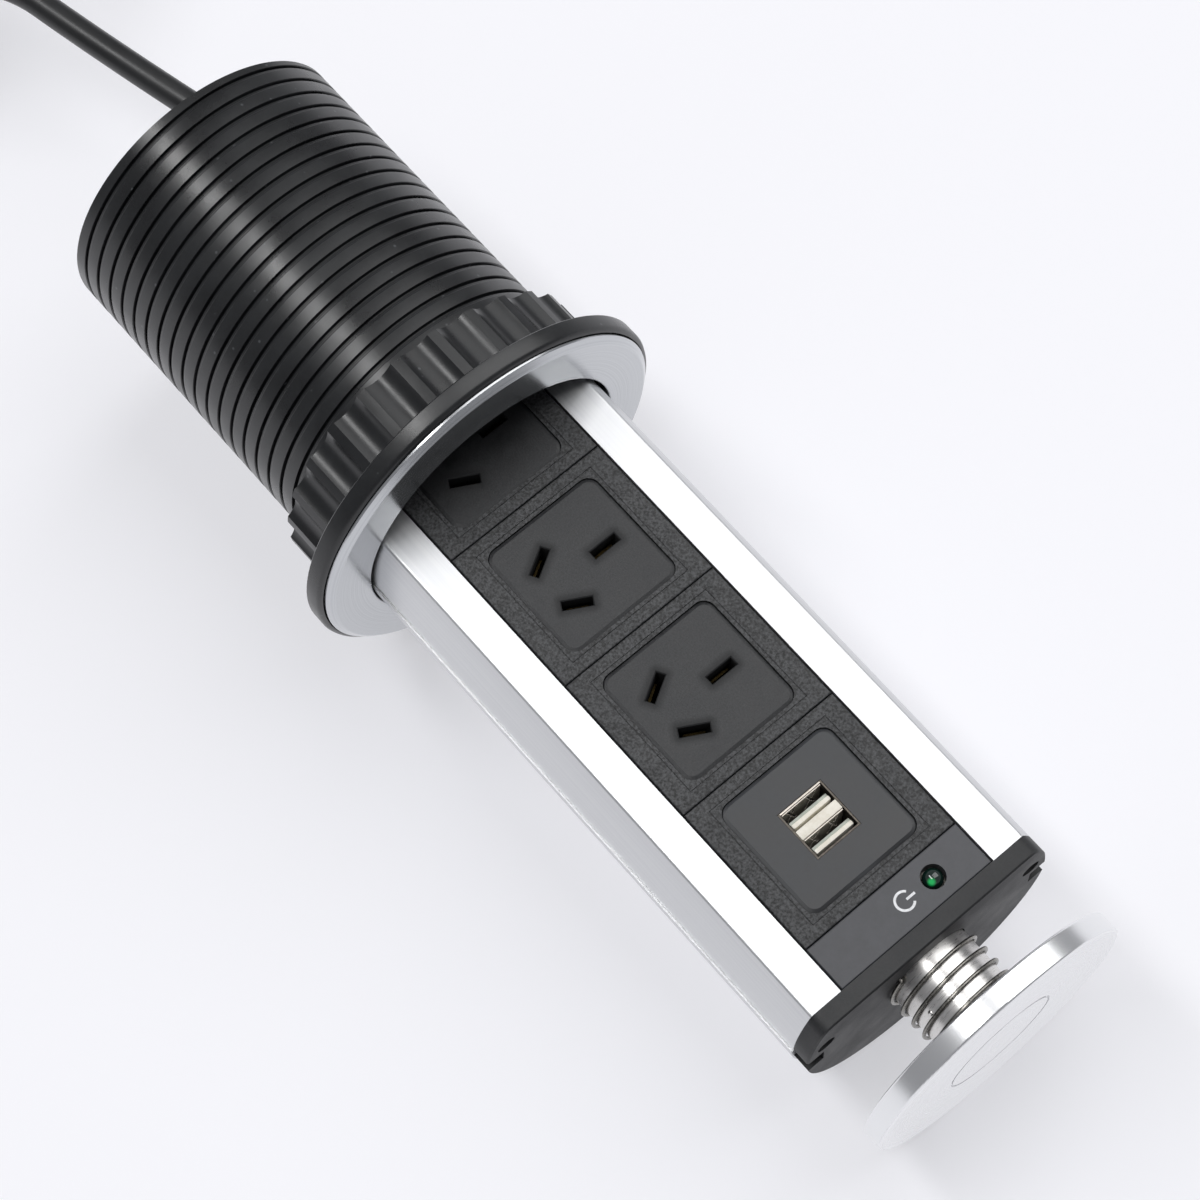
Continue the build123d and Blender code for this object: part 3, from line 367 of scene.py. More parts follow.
def darken_round_slots(material):
    """Darken and dull a soft band round the pin slots."""
    band_start, band_end, band_strength, band_roughness = 0.2, 2.6, 0.6, 0.85
    tree = material.node_tree
    surface = tree.nodes["Principled BSDF"]
    where = tree.nodes["Texture Coordinate"]
    skin = surface.inputs["Base Color"].links[0].from_node
    gloss = surface.inputs["Roughness"].links[0].from_node
    split = add_node(tree, "ShaderNodeSeparateXYZ", links={"Vector": (where, "Object")})
    raised = add_node(
        tree,
        "ShaderNodeMath",
        settings={"operation": "SUBTRACT"},
        inputs={1: mm(first_seam)},
        links={0: (split, "Z")},
    )
    wrapped = add_node(
        tree,
        "ShaderNodeMath",
        settings={"operation": "FLOORED_MODULO"},
        inputs={1: mm(module_pitch)},
        links={0: (raised, "Value")},
    )
    face = add_node(
        tree, "ShaderNodeCombineXYZ", links={"X": (split, "X"), "Z": (wrapped, "Value")}
    )
    nearest = None
    for x, z, tilt in pin_slots:
        turned = add_node(
            tree,
            "ShaderNodeMapping",
            settings={"vector_type": "TEXTURE"},
            inputs={
                "Location": place(x, 0, z + module_pitch / 2),
                "Rotation": (0, math.radians(tilt), 0),
            },
            links={"Vector": (face, "Vector")},
        )
        folded = add_node(
            tree,
            "ShaderNodeVectorMath",
            settings={"operation": "ABSOLUTE"},
            links={0: (turned, "Vector")},
        )
        beyond = add_node(
            tree,
            "ShaderNodeVectorMath",
            settings={"operation": "SUBTRACT"},
            inputs={1: place(slot_length / 2, 0, slot_width / 2)},
            links={0: (folded, "Vector")},
        )
        outside = add_node(
            tree,
            "ShaderNodeVectorMath",
            settings={"operation": "MAXIMUM"},
            inputs={1: (0, 0, 0)},
            links={0: (beyond, "Vector")},
        )
        reach = add_node(
            tree,
            "ShaderNodeVectorMath",
            settings={"operation": "LENGTH"},
            links={0: (outside, "Vector")},
        )
        if nearest is None:
            nearest = reach
        else:
            nearest = add_node(
                tree,
                "ShaderNodeMath",
                settings={"operation": "MINIMUM"},
                links={0: (nearest, "Value"), 1: (reach, "Value")},
            )
    band = add_node(
        tree,
        "ShaderNodeMapRange",
        settings={"interpolation_type": "SMOOTHSTEP"},
        inputs={
            "From Min": mm(band_start),
            "From Max": mm(band_end),
            "To Min": band_strength,
            "To Max": 0.0,
        },
        links={"Value": (nearest, "Value")},
    )
    darkened = add_node(
        tree,
        "ShaderNodeMix",
        settings={"data_type": "RGBA"},
        inputs={7: srgb("0b0c0d")},
        links={0: (band, "Result"), 6: (skin, 2)},
    )
    matt = add_node(
        tree,
        "ShaderNodeMix",
        inputs={3: band_roughness},
        links={0: (band, "Result"), 2: (gloss, 0)},
    )
    tree.links.new(darkened.outputs[2], surface.inputs["Base Color"])
    tree.links.new(matt.outputs[0], surface.inputs["Roughness"])
    return material


def scuffed_abs():
    """Black ABS, moulded and handled: low satin, cloudy where rubbed, with some dust."""
    dust_spacing, dust_strength = 5.0, 0.35
    # Shares of the spacing at which a speck starts to fade and is gone
    speck_core, speck_reach = 0.05, 0.09
    material = plastic_finish(
        "moulded ABS", "0c0d0f", "181a1c", (0.26, 0.36), 0.7, 0.008, 14.0, 0.35
    )
    tree = material.node_tree
    surface = tree.nodes["Principled BSDF"]
    where = tree.nodes["Texture Coordinate"]
    skin = surface.inputs["Base Color"].links[0].from_node
    specks = add_node(
        tree,
        "ShaderNodeTexVoronoi",
        inputs={"Scale": 1 / mm(dust_spacing), "Randomness": 1.0},
        links={"Vector": (where, "Object")},
    )
    dust = add_node(
        tree,
        "ShaderNodeMapRange",
        inputs={
            "From Min": speck_core,
            "From Max": speck_reach,
            "To Min": dust_strength,
            "To Max": 0.0,
        },
        links={"Value": (specks, "Distance")},
    )
    dusty = add_node(
        tree,
        "ShaderNodeMix",
        settings={"data_type": "RGBA"},
        inputs={7: srgb("6c6f72")},
        links={0: (dust, "Result"), 6: (skin, 2)},
    )
    tree.links.new(dusty.outputs[2], surface.inputs["Base Color"])
    return material


def green_epoxy():
    """Green-tinted clear epoxy: a dark glassy dome, with a painted glow where it gathers
    light.
    """
    # The painted glow: emission and a paler green round one point in the dome, with a soft
    # edge
    painted_glow_x, painted_glow_y, painted_glow_z = -lamp_offset + 1.25, -tower_front - 0.2, led_middle + 0.75
    painted_glow_core, painted_glow_reach = 0.3, 1.3
    material, tree, surface, where = new_material(
        "green tinted epoxy",
        {
            "Roughness": 0.05,
            "IOR": 1.55,
            "Emission Strength": 0.6,
            "Coat Weight": 0.6,
            "Coat Roughness": 0.03,
        },
    )
    gather = add_node(
        tree,
        "ShaderNodeVectorMath",
        settings={"operation": "DISTANCE"},
        inputs={1: place(painted_glow_x, painted_glow_y, painted_glow_z)},
        links={0: (where, "Object")},
    )
    painted_glow = add_node(
        tree,
        "ShaderNodeMapRange",
        settings={"interpolation_type": "SMOOTHSTEP"},
        inputs={
            "From Min": mm(painted_glow_core),
            "From Max": mm(painted_glow_reach),
            "To Min": 1.0,
            "To Max": 0.0,
        },
        links={"Value": (gather, "Value")},
    )
    tint = add_node(
        tree,
        "ShaderNodeMix",
        settings={"data_type": "RGBA"},
        inputs={6: srgb("08201a"), 7: srgb("11924a")},
        links={0: (painted_glow, "Result")},
    )
    light = add_node(
        tree,
        "ShaderNodeMix",
        settings={"data_type": "RGBA"},
        inputs={6: srgb("000000"), 7: srgb("0f9a4c")},
        links={0: (painted_glow, "Result")},
    )
    tree.links.new(tint.outputs[2], surface.inputs["Base Color"])
    tree.links.new(light.outputs[2], surface.inputs["Emission Color"])
    return material


finish_of = {
    "moulded ABS": scuffed_abs(),
    # Black ABS from a spark-eroded mould: pits of about 0.6 mm that speckle the light
    "spark textured ABS": plastic_finish(
        "spark textured ABS", "030404", "464749", (0.52, 0.64), 0.6, 0.16, 9.0, 0.92
    ),
    # The same plastic with a finer etched texture and a soft darker band round the slots
    "fine textured ABS": darken_round_slots(
        plastic_finish(
            "fine textured ABS", "141517", "2a2b2d", (0.44, 0.56), 0.45, 0.06, 5.0, 0.6
        )
    ),
    # Smooth moulded ABS, with cloudy smudges from handling
    "smooth ABS": plastic_finish(
        "smooth ABS", "252628", "2f3134", (0.34, 0.46), 0.8, 0.004, 11.0, 0.15
    ),
    # The same moulding, a little paler all over
    "satin ABS": plastic_finish(
        "satin ABS", "393a3e", "46474b", (0.38, 0.5), 0.8, 0.004, 7.0, 0.15
    ),
    # An eroded skin, less speckled, for the end plate; its darker tone is painted shade
    # under the cap
    "eroded ABS darkened for shade": plastic_finish(
        "eroded ABS darkened for shade", "111214", "1e1f21", (0.5, 0.62), 0.5, 0.05, 12.0, 0.4
    ),
    # Extruded and satin anodised: pale and even, with faint drawing lines along the profile
    "satin aluminium": metal_finish(
        "satin anodised aluminium",
        "d3d4d6",
        "dadbdc",
        (0.4, 0.46),
        0.6,
        0.001,
        stretch=(1, 1, 0.01),
    ),
    # Turned and polished: fine rings round the axis, clear reflections
    "turned aluminium": lay_rings(
        metal_finish("turned aluminium", "babcbf", "c9cbcd", (0.18, 0.26), 0.4, 0.003)
    ),
    # Faced on a lathe and clear anodised
    "brushed aluminium": lay_rings(
        metal_finish("brushed aluminium", "eaebec", "f2f2f3", (0.24, 0.32), 0.5, 0.003)
    ),
    # Stainless tube, polished round with a belt: bands of gloss one over another
    "brushed steel": metal_finish(
        "brushed stainless steel",
        "cbc9c6",
        "dbd9d7",
        (0.26, 0.32),
        0.5,
        0.0015,
        stretch=(0.15, 0.15, 1),
    ),
    # Drawn spring wire under an oil film: mid grey with soft highlights
    "spring steel": metal_finish(
        "drawn spring steel", "77756f", "94918c", (0.24, 0.34), 0.6, 0.002
    ),
    # Stamped sheet with a thin nickel coat, a little warm; its dim tone is painted shade,
    # deep in the outlet
    "nickel": metal_finish("nickel plate", "4a4541", "656059", (0.34, 0.46), 0.8, 0.003),
    # The same plate as a lit copy, for the parts that light reaches: its pale, warm tone is
    # painted light
    "lit nickel": metal_finish(
        "lit nickel plate", "c4bbb0", "e0dad2", (0.45, 0.6), 0.8, 0.003
    ),
    # Stamped brass, darkened to brown inside the sockets as painted shade
    "brass": metal_finish("stamped brass", "2b2415", "453a22", (0.42, 0.55), 0.8, 0.004),
    # Zinc plate over steel: blue-grey and slightly mottled
    "zinc": metal_finish("zinc plated steel", "7d8083", "9a9da0", (0.36, 0.46), 1.1, 0.004),
    # Natural nylon: ivory, with a soft sheen
    "nylon": plastic_finish(
        "natural nylon", "ddd7c8", "ece8dd", (0.36, 0.44), 0.7, 0.006, 3.0, 0.3
    ),
    # The same nylon, greyer, where the contacts run
    "greyer nylon": plastic_finish(
        "greyer nylon", "9da399", "b3b8ae", (0.4, 0.5), 0.7, 0.006, 2.0, 0.3
    ),
    # Moulded rubber: dead matt
    "rubber": plastic_finish(
        "matt rubber", "161718", "202122", (0.7, 0.8), 0.5, 0.03, 8.0, 0.6, ior=1.52
    ),
    # Extruded PVC sheath: soft gloss, faintly uneven
    "PVC": plastic_finish(
        "PVC sheath", "0d0e0f", "151618", (0.34, 0.44), 1.5, 0.012, 18.0, 0.3, ior=1.54
    ),
    # Green lacquer over glass fibre, with a slightly uneven gloss
    "board": plastic_finish(
        "solder resist", "12452a", "1b5a38", (0.3, 0.4), 1.0, 0.008, 5.0, 0.4, ior=1.5
    ),
    # Green epoxy lamp, with a painted glow in its dome
    "lamp": green_epoxy(),
    # White pad-printed ink, matt and a little thin
    "ink": plastic_finish(
        "pad printed ink", "d4d5d8", "f0f1f3", (0.55, 0.65), 0.4, 0.004, 2.0, 0.5, ior=1.5
    ),
}

node_finishes = {
    "moulded ABS": ("barrel", "lock_ring", "foot", "cord_gland", "gland_locknut"),
    "turned aluminium": ("bezel_ring",),
    "zinc": ("clamp_washer", "foot_screw_1", "foot_screw_2", "cap_screw", "plate_screws"),
    "satin aluminium": ("profile_left", "profile_right", "rear_shell"),
    "spark textured ABS": (
        "socket_frame_1",
        "socket_frame_2",
        "socket_frame_3",
        "usb_frame",
    ),
    "fine textured ABS": ("socket_insert_1", "socket_insert_2", "socket_insert_3"),
    "smooth ABS": ("usb_insert", "neck_sleeve"),
    "satin ABS": ("led_panel", "lower_panel"),
    "eroded ABS darkened for shade": ("end_plate",),
    "nylon": (
        "usb_divider",
        "usb_tongue_lower",
        "usb_tongue_upper",
        "terminal_block",
        "led_holder",
    ),
    "nickel": ("usb_shell",),
    "lit nickel": ("plug_pin_live", "plug_pin_neutral", "plug_pin_earth"),
    "board": ("usb_board",),
    "lamp": ("led_lamp",),
    "rubber": ("friction_pad_1", "friction_pad_2", "friction_pad_3", "cord_tie"),
    "spring steel": ("cap_spring",),
    "brushed steel": ("cap_neck",),
    "brushed aluminium": ("cap_disc",),
    "PVC": ("power_cord", "cord_coil", "cord_tail", "plug_body"),
}
for finish, names in node_finishes.items():
    for name in names:
        dress(nodes[name], finish_of[finish])
for name, node in nodes.items():
    if name.startswith(("contact_", "busbar_")):
        dress(node, finish_of["brass"])


# Supply lead: the same route as the frame's, smooth through its points. The coil spirals
# in for its first turns, climbs to the second layer in half a turn, and spirals out again.
coil_turns = 5.25
coil_turns_inward = 2.5
coil_climb = 0.5
coil_outer_radius = 46.8
coil_turn_pitch = 8.1
coil_layer_pitch = 8.2
coil_start_angle = 55.0
coil_centre_x = -0.8
coil_centre_z = -262.3
coil_front_y = 12.0
lead_join_run = 19.0
lead_points = [
    (-18.0, 12.0, -73.4),
    (-18.0, 12.0, -97.0),
    (-17.2, 12.0, -122.0),
    (-10.6, 12.0, -150.0),
    (-4.6, 12.0, -178.0),
    (-1.4, 12.0, -195.0),
]
tail_points = [(18.2, 20.2, -326.0), (18.2, 20.2, -345.0)]


def coil_radius(turn):
    """The coil's radius at a turn, eased through its least where the layers change."""
    if turn <= coil_turns_inward:
        return coil_outer_radius - coil_turn_pitch * turn
    least = coil_outer_radius - coil_turn_pitch * coil_turns_inward
    along = turn - coil_turns_inward
    if turn <= coil_turns_inward + coil_climb:
        return least - coil_turn_pitch * along + coil_turn_pitch * along**2 / coil_climb
    return least + coil_turn_pitch * (along - coil_climb)


def coil_point(turn):
    """The lead's middle at a turn of the coil, in millimetres."""
    climbed = min(max((turn - coil_turns_inward) / coil_climb, 0), 1)
    angle = math.radians(coil_start_angle) - 2 * math.pi * turn
    radius = coil_radius(turn)
    return Vector((
        coil_centre_x + radius * math.cos(angle),
        coil_front_y + coil_layer_pitch * climbed**2 * (3 - 2 * climbed),
        coil_centre_z + radius * math.sin(angle),
    ))


def coil_control_points():
    """Control points of the turns, pushed out because the spline runs inside them."""
    per_turn = 16
    count = round(coil_turns * per_turn)
    push = 1 / math.cos(math.pi / per_turn)
    centre = Vector((coil_centre_x, 0, coil_centre_z))
    points = []
    for step in range(1, count):
        turn = step / per_turn
        point = coil_point(turn)
        reach = Vector((point.x - centre.x, 0, point.z - centre.z))
        wide = centre + reach * (1 + (push - 1) / 2)
        points.append(Vector((wide.x, point.y, wide.z)))
    return points


def coil_heading(turn):
    """The way that the coil runs at a turn."""
    step = 1 / 4096
    return (coil_point(turn + step) - coil_point(turn - step)).normalized()


def build_supply_lead():
    start, finish = coil_point(0), coil_point(coil_turns)
    route = [Vector(point) for point in lead_points]
    route.append(start - coil_heading(0) * lead_join_run)
    route.append(start)
    route += coil_control_points()
    route.append(finish)
    route.append(finish + coil_heading(coil_turns) * lead_join_run)
    route += [Vector(point) for point in tail_points]
    lead = round_wire("supply_lead", route, lead_diameter, resolution=6, round_resolution=5)
    dress(lead, finish_of["PVC"])
    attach(lead, "tower")
    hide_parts("power_cord", "cord_coil", "cord_tail")


# Flange and threaded sleeve
def fill_rims(piece, height, reach=0.01):
    """Close the flat ring between the two open rims that lie within reach of a height."""
    use_only(piece)
    bpy.ops.object.mode_set(mode="EDIT")
    bpy.ops.mesh.select_mode(type="EDGE")
    bpy.ops.mesh.select_all(action="DESELECT")
    bpy.ops.mesh.select_non_manifold()
    bpy.ops.object.mode_set(mode="OBJECT")
    for edge in piece.data.edges:
        ends = [piece.data.vertices[index].co.z for index in edge.vertices]
        if edge.select and max(abs(end - mm(height)) for end in ends) > mm(reach):
            edge.select = False
    bpy.ops.object.mode_set(mode="EDIT")
    bpy.ops.mesh.fill()
    bpy.ops.mesh.select_mode(type="VERT")
    bpy.ops.object.mode_set(mode="OBJECT")


def build_threaded_sleeve():
    """The thread is one groove's outline carried up the sleeve by a screw, then cut level.

    The groove is a narrow slit with a shallow step above it.
    """
    steps = 144
    turns = 24
    first_turn = 19
    slit_half, slit_depth, slit_lean = 0.36, 1.0, 0.08
    slit_edge, slit_edge_depth = 0.12, 0.25
    step_height, step_depth, step_edge_depth = 0.5, 0.22, 0.1
    crest_edge, crest_start, crest_edge_depth = 0.22, 0.4, 0.02
    end_round, rim_round = 0.4, 0.3
    cut_precision = 0.001
    base = thread_first_groove - thread_pitch * first_turn
    thread = outline_mesh("threaded_sleeve", [
        (sleeve_radius, base - slit_half - slit_edge),
        (sleeve_radius - slit_edge_depth, base - slit_half),
        (sleeve_radius - slit_depth, base - slit_half + slit_lean),
        (sleeve_radius - slit_depth, base + slit_half - slit_lean),
        (sleeve_radius - step_depth - step_edge_depth, base + slit_half),
        (sleeve_radius - step_depth, base + slit_half + slit_edge),
        (sleeve_radius - step_depth, base + slit_half + step_height),
        (sleeve_radius - crest_edge_depth, base + slit_half + step_height + crest_edge),
        (sleeve_radius, base + slit_half + step_height + crest_start),
        (sleeve_radius, base - slit_half - slit_edge + thread_pitch),
    ], closed=False)
    thread.data.transform(Matrix.Rotation(-math.pi / 2, 4, "Z"))
    apply_modifier(
        thread,
        "SCREW",
        axis="Z",
        angle=2 * math.pi,
        screw_offset=mm(thread_pitch),
        iterations=turns,
        steps=steps,
        render_steps=steps,
    )
    edit_all(thread)
    bpy.ops.mesh.remove_doubles(threshold=mm(weld_gap))
    for height, upper in ((-sleeve_length, False), (seat_relief, True)):
        bpy.ops.mesh.select_all(action="SELECT")
        bpy.ops.mesh.bisect(
            plane_co=(0, 0, mm(height)),
            plane_no=(0, 0, 1),
            threshold=mm(cut_precision),
            clear_inner=not upper,
            clear_outer=upper,
        )
    bpy.ops.object.mode_set(mode="OBJECT")
    body = outline_mesh("flange_body", [
        (sleeve_bore_radius + end_round, -sleeve_length),
        (sleeve_bore_radius, -sleeve_length + end_round),
        (sleeve_bore_radius, trim_seat_height),
        (trim_seat_radius, trim_seat_height),
        (trim_seat_radius, flange_height),
        (flange_radius - flange_chamfer, flange_height),
        (flange_radius - flange_chamfer / 3, flange_height - flange_chamfer / 3),
        (flange_radius, flange_height - flange_chamfer),
        (flange_radius, rim_round),
        (flange_radius - rim_round, 0),
        (seat_inner_radius, 0),
        (seat_inner_radius, seat_relief),
    ], closed=False)
    turn_round(body, steps)
    join(thread, body)
    fill_rims(thread, -sleeve_length)
    fill_rims(thread, seat_relief)
    outward(thread)
    smooth(thread, 40)
    dress(thread, finish_of["moulded ABS"])
    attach(thread, "base")
    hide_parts("barrel")


# Trim ring: a bevelled rim, a face that rises a little inwards, and a rounded inner edge
def build_trim_ring():
    foot_round = 0.2
    rim_top, bevel_start, bevel_start_height = 5.62, 0.08, 5.76
    bevel_end, face_start, face_end = (48.46, 6.96), (48.3, 7.02), (38.0, 7.24)
    inner_edge = ((37.72, 7.2), (37.5, 7.05))
    inner_edge_height = 6.75
    ring = outline_mesh("trim_ring", [
        (trim_bore_radius, trim_seat_height),
        (trim_radius - foot_round, trim_seat_height),
        (trim_radius, trim_seat_height + foot_round),
        (trim_radius, rim_top),
        (trim_radius - bevel_start, bevel_start_height),
        bevel_end,
        face_start,
        face_end,
        *inner_edge,
        (trim_bore_radius, inner_edge_height),
    ], closed=True)
    turn_round(ring, 192)
    smooth(ring, 14)
    dress(ring, finish_of["turned aluminium"])
    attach(ring, "base")
    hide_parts("bezel_ring")


# Cap spring: wire on a helix, its ends turned down and up into their holes
def build_spring():
    wire, radius, turns, start_angle, lay = 0.95, 12.0, 4.75, -35.0, 0.18
    # Each end bends over this length, and its leg is given in the same lengths
    bend, leg_start, leg_end = 1.25, 0.4, 2
    low = plate_top + wire / 2 + lay
    high = cap_bottom - wire / 2 - lay
    per_turn = 16
    push = 1 + (1 / math.cos(math.pi / per_turn) - 1) / 2

    def helix(turn, spread):
        angle = math.radians(start_angle) + 2 * math.pi * turn
        return Vector((
            radius * spread * math.cos(angle),
            radius * spread * math.sin(angle),
            low + (high - low) * turn / turns,
        ))

    def along(turn):
        angle = math.radians(start_angle) + 2 * math.pi * turn
        return Vector((-math.sin(angle), math.cos(angle), 0))

    foot_place = helix(0, 1) - along(0) * bend
    head_place = helix(turns, 1) + along(turns) * bend
    rise = Vector((0, 0, bend))
    route = [foot_place - leg_end * rise, foot_place - leg_start * rise, foot_place]
    count = round(turns * per_turn)
    route += [helix(step / per_turn, push) for step in range(count + 1)]
    route += [head_place, head_place + leg_start * rise, head_place + leg_end * rise]
    use_only(
        round_wire("cap_spring_wire", route, wire, resolution=5, round_resolution=3)
    )
    bpy.ops.object.convert(target="MESH")
    spring = bpy.context.object
    smooth(spring, 60)
    dress(spring, finish_of["spring steel"])
    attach(spring, "tower")
    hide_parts("cap_spring")
    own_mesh(spring)


# Power sign: an open ring and a bar, printed beside the lamp
def build_power_symbol():
    inner, outer, opening, bar_half, bar_low, bar_high = 1.95, 2.55, 80.0, 0.3, 0.55, 3.05
    ink_thickness, symbol_x, ring_steps = 0.04, -1.6, 40
    start = math.radians(opening / 2)
    symbol = outline_mesh("power_symbol", [
        (-inner * math.cos(start), -inner * math.sin(start)),
        (-outer * math.cos(start), -outer * math.sin(start)),
    ], closed=False)
    turn_round(symbol, ring_steps, axis=(0, 1, 0), degrees=360 - opening)
    bar = outline_mesh("power_bar", [
        (-bar_low, -bar_half),
        (-bar_high, -bar_half),
        (-bar_high, bar_half),
        (-bar_low, bar_half),
    ], closed=True)
    edit_all(bar)
    bpy.ops.mesh.edge_face_add()
    bpy.ops.object.mode_set(mode="OBJECT")
    join(symbol, bar)
    apply_modifier(symbol, "SOLIDIFY", thickness=mm(ink_thickness), offset=0)
    symbol.location = place(symbol_x, -tower_front - ink_thickness / 2, led_middle)
    settle(symbol)
    outward(symbol)
    dress(symbol, finish_of["ink"])
    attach(symbol, "tower")


# Charging outlet: tongues, divider and the stamped springs in its two bays
def add_bar(name, low, high, edge, material):
    """A block between two corners in millimetres, with its edges rounded."""
    middle = [(start + end) / 2 for start, end in zip(low, high)]
    bpy.ops.mesh.primitive_cube_add(size=1, location=place(*middle))
    bar = bpy.context.object
    bar.name = bar.data.name = name
    bar.scale = place(*(end - start for start, end in zip(low, high)))
    settle(bar)
    apply_modifier(bar, "BEVEL", width=mm(edge), segments=2)
    dress(bar, finish_of[material])
    return bar


def build_outlet():
    """Each bay holds a spring plate and a tongue with a white tip and a greyer step."""
    tip_headroom, tip_height, tip_round = 0.8, 1.1, 0.15
    step_setback, step_low, step_high, step_round = 0.5, 1.9, 1.0, 0.12
    lip_front, lip_back, lip_low, lip_high, lip_round = 0.2, 0.6, 0.35, 0.1, 0.1
    divider_round = 0.2
    outlet_middle = led_bottom - outlet_module / 2
    bay_low, bay_high = outlet_divider / 2, outlet_inner / 2
    bays = {"lower": -bay_high, "upper": bay_low}
    half_width, half_inner = tongue_width / 2, outlet_inner_width / 2
    back_y = -tower_front + outlet_depth
    for bay, start in bays.items():
        floor_z = outlet_middle + start
        tip_z = floor_z + bay_high - bay_low - tip_headroom
        tip = add_bar(
            f"tongue_tip_{bay}",
            (-half_width, tongue_front, tip_z - tip_height),
            (half_width, back_y, tip_z),
            tip_round,
            "nylon",
        )
        step = add_bar(
            f"tongue_step_{bay}",
            (-half_width, tongue_front + step_setback, tip_z - step_low),
            (half_width, back_y, tip_z - step_high),
            step_round,
            "greyer nylon",
        )
        for piece in (tip, step):
            smooth(piece)
            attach(piece, "tower")
        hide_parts(f"usb_tongue_{bay}")
        build_spring_plate(bay, floor_z)
    # The shell's folded lip, in the lit copy of the nickel: its brightness is painted light
    lip = add_bar(
        "outlet_lip",
        (-half_inner, divider_front - lip_front, outlet_middle - bay_high - lip_low),
        (half_inner, divider_front + lip_back, outlet_middle - bay_high + lip_high),
        lip_round,
        "lit nickel",
    )
    smooth(lip)
    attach(lip, "tower")
    divider = add_bar(
        "outlet_divider",
        (-half_inner, divider_front, outlet_middle - bay_low),
        (half_inner, back_y, outlet_middle + bay_low),
        divider_round,
        "nylon",
    )
    smooth(divider)
    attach(divider, "tower")
    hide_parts("usb_divider")


def build_spring_plate(bay, floor_z):
    """A stamped plate along a bay's wall: two pairs of crossing slits leave its springs."""
    columns, rows = 44, 24
    side_gap, inset, wall_gap, thickness = 0.5, 0.45, 0.3, 0.2
    slit_start, slit_end, slit_spread, slit_lean = 0.5, 8.5, 1.5, 0.34
    slit_half_cells = 1.3
    width, depth = outlet_inner_width - side_gap, 11.0
    bpy.ops.mesh.primitive_grid_add(x_subdivisions=columns, y_subdivisions=rows, size=1)
    plate = bpy.context.object
    plate.name = plate.data.name = f"spring_plate_{bay}"
    plate.scale = (mm(width), mm(depth), 1)
    plate.location = place(0, -tower_front + inset + depth / 2, floor_z + wall_gap)
    settle(plate)
    cell = width / columns
    slits = set()
    for face in plate.data.polygons:
        across = face.center.x / mm(1)
        down = (face.center.y + mm(tower_front)) / mm(1) - inset
        for middle in (-width / 4, width / 4):
            for side in (-1, 1):
                slit_x = middle + side * (slit_spread - slit_lean * down)
                near = abs(across - slit_x) < cell * slit_half_cells
                if near and slit_start < down < slit_end:
                    slits.add(face.index)
    bpy.ops.object.mode_set(mode="EDIT")
    bpy.ops.mesh.select_mode(type="FACE")
    bpy.ops.mesh.select_all(action="DESELECT")
    bpy.ops.object.mode_set(mode="OBJECT")
    for face in plate.data.polygons:
        face.select = face.index in slits
    bpy.ops.object.mode_set(mode="EDIT")
    bpy.ops.mesh.delete(type="FACE")
    bpy.ops.mesh.select_mode(type="VERT")
    bpy.ops.object.mode_set(mode="OBJECT")
    apply_modifier(plate, "SOLIDIFY", thickness=mm(thickness), offset=0)
    outward(plate)
    # In the lit copy of the nickel: its pale tone is painted light
    dress(plate, finish_of["lit nickel"])
    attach(plate, "tower")


# Set pin that stands a little out of the cap's neck
def build_neck_pin():
    pin_x, pin_y, pin_height, pin_steps = 8.8, -6.5, 172.2, 20
    domed_outline = [(0, 0.32), (0.45, 0.26), (0.68, 0.05), (0.7, -0.6)]
    turn = math.atan2(pin_y, pin_x)
    pin = outline_mesh("neck_pin", domed_outline, closed=False)
    turn_round(pin, pin_steps)
    pin.rotation_euler = (0, math.pi / 2, turn)
    pin.location = place(
        neck_radius * math.cos(turn), neck_radius * math.sin(turn), pin_height
    )
    settle(pin)
    smooth(pin, 50)
    dress(pin, finish_of["brushed steel"])
    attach(pin, "cap")


build_supply_lead()
build_threaded_sleeve()
build_trim_ring()
build_spring()
build_power_symbol()
build_outlet()
build_neck_pin()


# Camera, fitted to the object's rings, seams and slots as the photograph shows them
camera_place = place(158.574, -690.065, 274.883)
camera_right = Vector((-0.76149, 0.03841, 0.64704))
camera_down = Vector((0.61147, 0.37374, 0.69744))
photo_width = 1200
focal_pixels = 3122.2
sensor_width = 36.0


def build_camera():
    """The fitted camera, and its right, up and back directions."""
    data = bpy.data.cameras.new("camera")
    data.sensor_width = sensor_width
    data.lens = focal_pixels / photo_width * sensor_width
    data.clip_start = 0.01
    data.clip_end = 20
    camera = bpy.data.objects.new("camera", data)
    bpy.context.scene.collection.objects.link(camera)
    right = camera_right.normalized()
    up = (-camera_down - right * right.dot(-camera_down)).normalized()
    back = right.cross(up)
    turn = Matrix((right, up, back)).transposed()
    camera.matrix_world = Matrix.Translation(camera_place) @ turn.to_4x4()
    bpy.context.scene.camera = camera
    return right, up, back


right, up, back = build_camera()


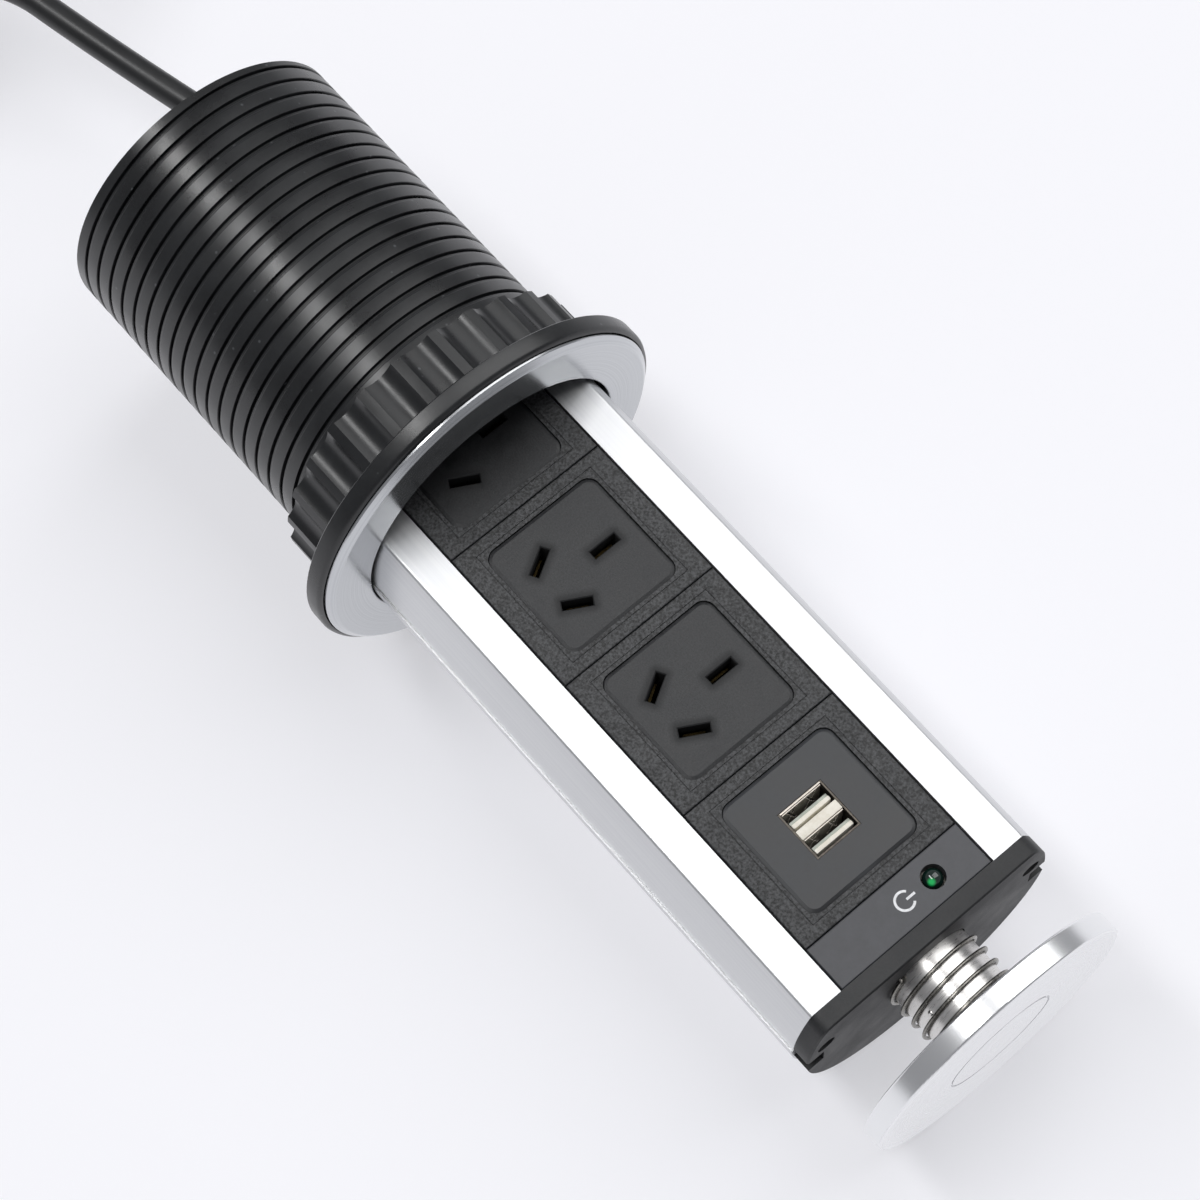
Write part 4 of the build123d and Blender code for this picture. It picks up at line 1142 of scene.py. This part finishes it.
# White table behind the object, and pale studio light
def build_table():
    """The table lies under the tower's far side, where the flange and the cap touch it."""
    table_size = 6
    white_to_camera, white_in_metal = 0.46, 0.75
    flange_touch = place(0, 51.8, 0)
    cap_touch = place(0, 37.2, 183)
    slope = (cap_touch - flange_touch).normalized()
    normal = Vector((0, -slope.z, slope.y)).normalized()
    bpy.ops.mesh.primitive_plane_add(size=table_size, location=flange_touch)
    table = bpy.context.object
    table.name = table.data.name = "table"
    table.rotation_mode = "QUATERNION"
    table.rotation_quaternion = normal.to_track_quat("Z", "Y")
    settle(table)
    # Matt white laminate, which glows to the camera and in metal so that it reads white
    material = bpy.data.materials.new("white laminate")
    material.use_nodes = True
    tree = material.node_tree
    surface = tree.nodes["Principled BSDF"]
    surface.inputs["Base Color"].default_value = srgb("f4f4f9")
    surface.inputs["Roughness"].default_value = 0.7
    path = add_node(tree, "ShaderNodeLightPath")
    mirrored = add_node(
        tree,
        "ShaderNodeMath",
        settings={"operation": "MAXIMUM"},
        links={0: (path, "Is Glossy Ray"), 1: (path, "Is Transmission Ray")},
    )
    in_metal = add_node(
        tree,
        "ShaderNodeMath",
        settings={"operation": "MULTIPLY"},
        inputs={1: white_in_metal},
        links={0: (mirrored, "Value")},
    )
    share = add_node(
        tree,
        "ShaderNodeMath",
        settings={"operation": "MULTIPLY_ADD"},
        inputs={1: white_to_camera},
        links={0: (path, "Is Camera Ray"), 2: (in_metal, "Value")},
    )
    white = add_node(
        tree, "ShaderNodeEmission", inputs={"Color": srgb("fbfbff"), "Strength": 1.0}
    )
    lit = add_node(
        tree,
        "ShaderNodeMixShader",
        links={0: (share, "Value"), 1: (surface, "BSDF"), 2: (white, "Emission")},
    )
    # Clear from below, so that views from behind see the object through it
    clear = add_node(tree, "ShaderNodeBsdfTransparent")
    geometry = add_node(tree, "ShaderNodeNewGeometry")
    front = add_node(
        tree,
        "ShaderNodeMixShader",
        links={0: (geometry, "Backfacing"), 1: (lit, "Shader"), 2: (clear, "BSDF")},
    )
    tree.links.new(front.outputs[0], tree.nodes["Material Output"].inputs["Surface"])
    dress(table, material)


def add_softbox(name, direction, distance, size, energy):
    """A rectangular lamp, sizes in metres and energy in watts, that faces the tower."""
    middle = place(0, 0, 60)
    data = bpy.data.lights.new(name, "AREA")
    data.shape = "RECTANGLE"
    data.size, data.size_y = size
    data.energy = energy
    lamp = bpy.data.objects.new(name, data)
    bpy.context.scene.collection.objects.link(lamp)
    lamp.location = middle + direction.normalized() * distance
    lamp.rotation_mode = "QUATERNION"
    lamp.rotation_quaternion = direction.to_track_quat("Z", "Y")


build_table()
add_softbox(
    "overhead softbox",
    direction=up * 0.8 + back * 0.75 + right * 0.4,
    distance=2.4,
    size=(2.5, 2.0),
    energy=34,
)
add_softbox(
    "strip softbox",
    direction=right * -0.445 + up * 0.386 + back * 0.808,
    distance=2.4,
    size=(0.45, 2.4),
    energy=30,
)


def build_world():
    """A pale room: white to the camera, dim as light, a little brighter in reflections."""
    strength, added_to_camera, added_in_metal = 0.22, 0.78, 0.12
    world = bpy.data.worlds.new("pale studio")
    world.use_nodes = True
    studio = world.node_tree
    background = studio.nodes["Background"]
    background.inputs["Color"].default_value = srgb("f2f3f8")
    ray = add_node(studio, "ShaderNodeLightPath")
    seen = add_node(
        studio,
        "ShaderNodeMath",
        settings={"operation": "MULTIPLY_ADD"},
        inputs={1: added_to_camera, 2: strength},
        links={0: (ray, "Is Camera Ray")},
    )
    mirrored = add_node(
        studio,
        "ShaderNodeMath",
        settings={"operation": "MAXIMUM"},
        links={0: (ray, "Is Glossy Ray"), 1: (ray, "Is Transmission Ray")},
    )
    level = add_node(
        studio,
        "ShaderNodeMath",
        settings={"operation": "MULTIPLY_ADD"},
        inputs={1: added_in_metal},
        links={0: (mirrored, "Value"), 2: (seen, "Value")},
    )
    studio.links.new(level.outputs["Value"], background.inputs["Strength"])
    bpy.context.scene.world = world


build_world()
bpy.context.scene.view_settings.view_transform = "Standard"
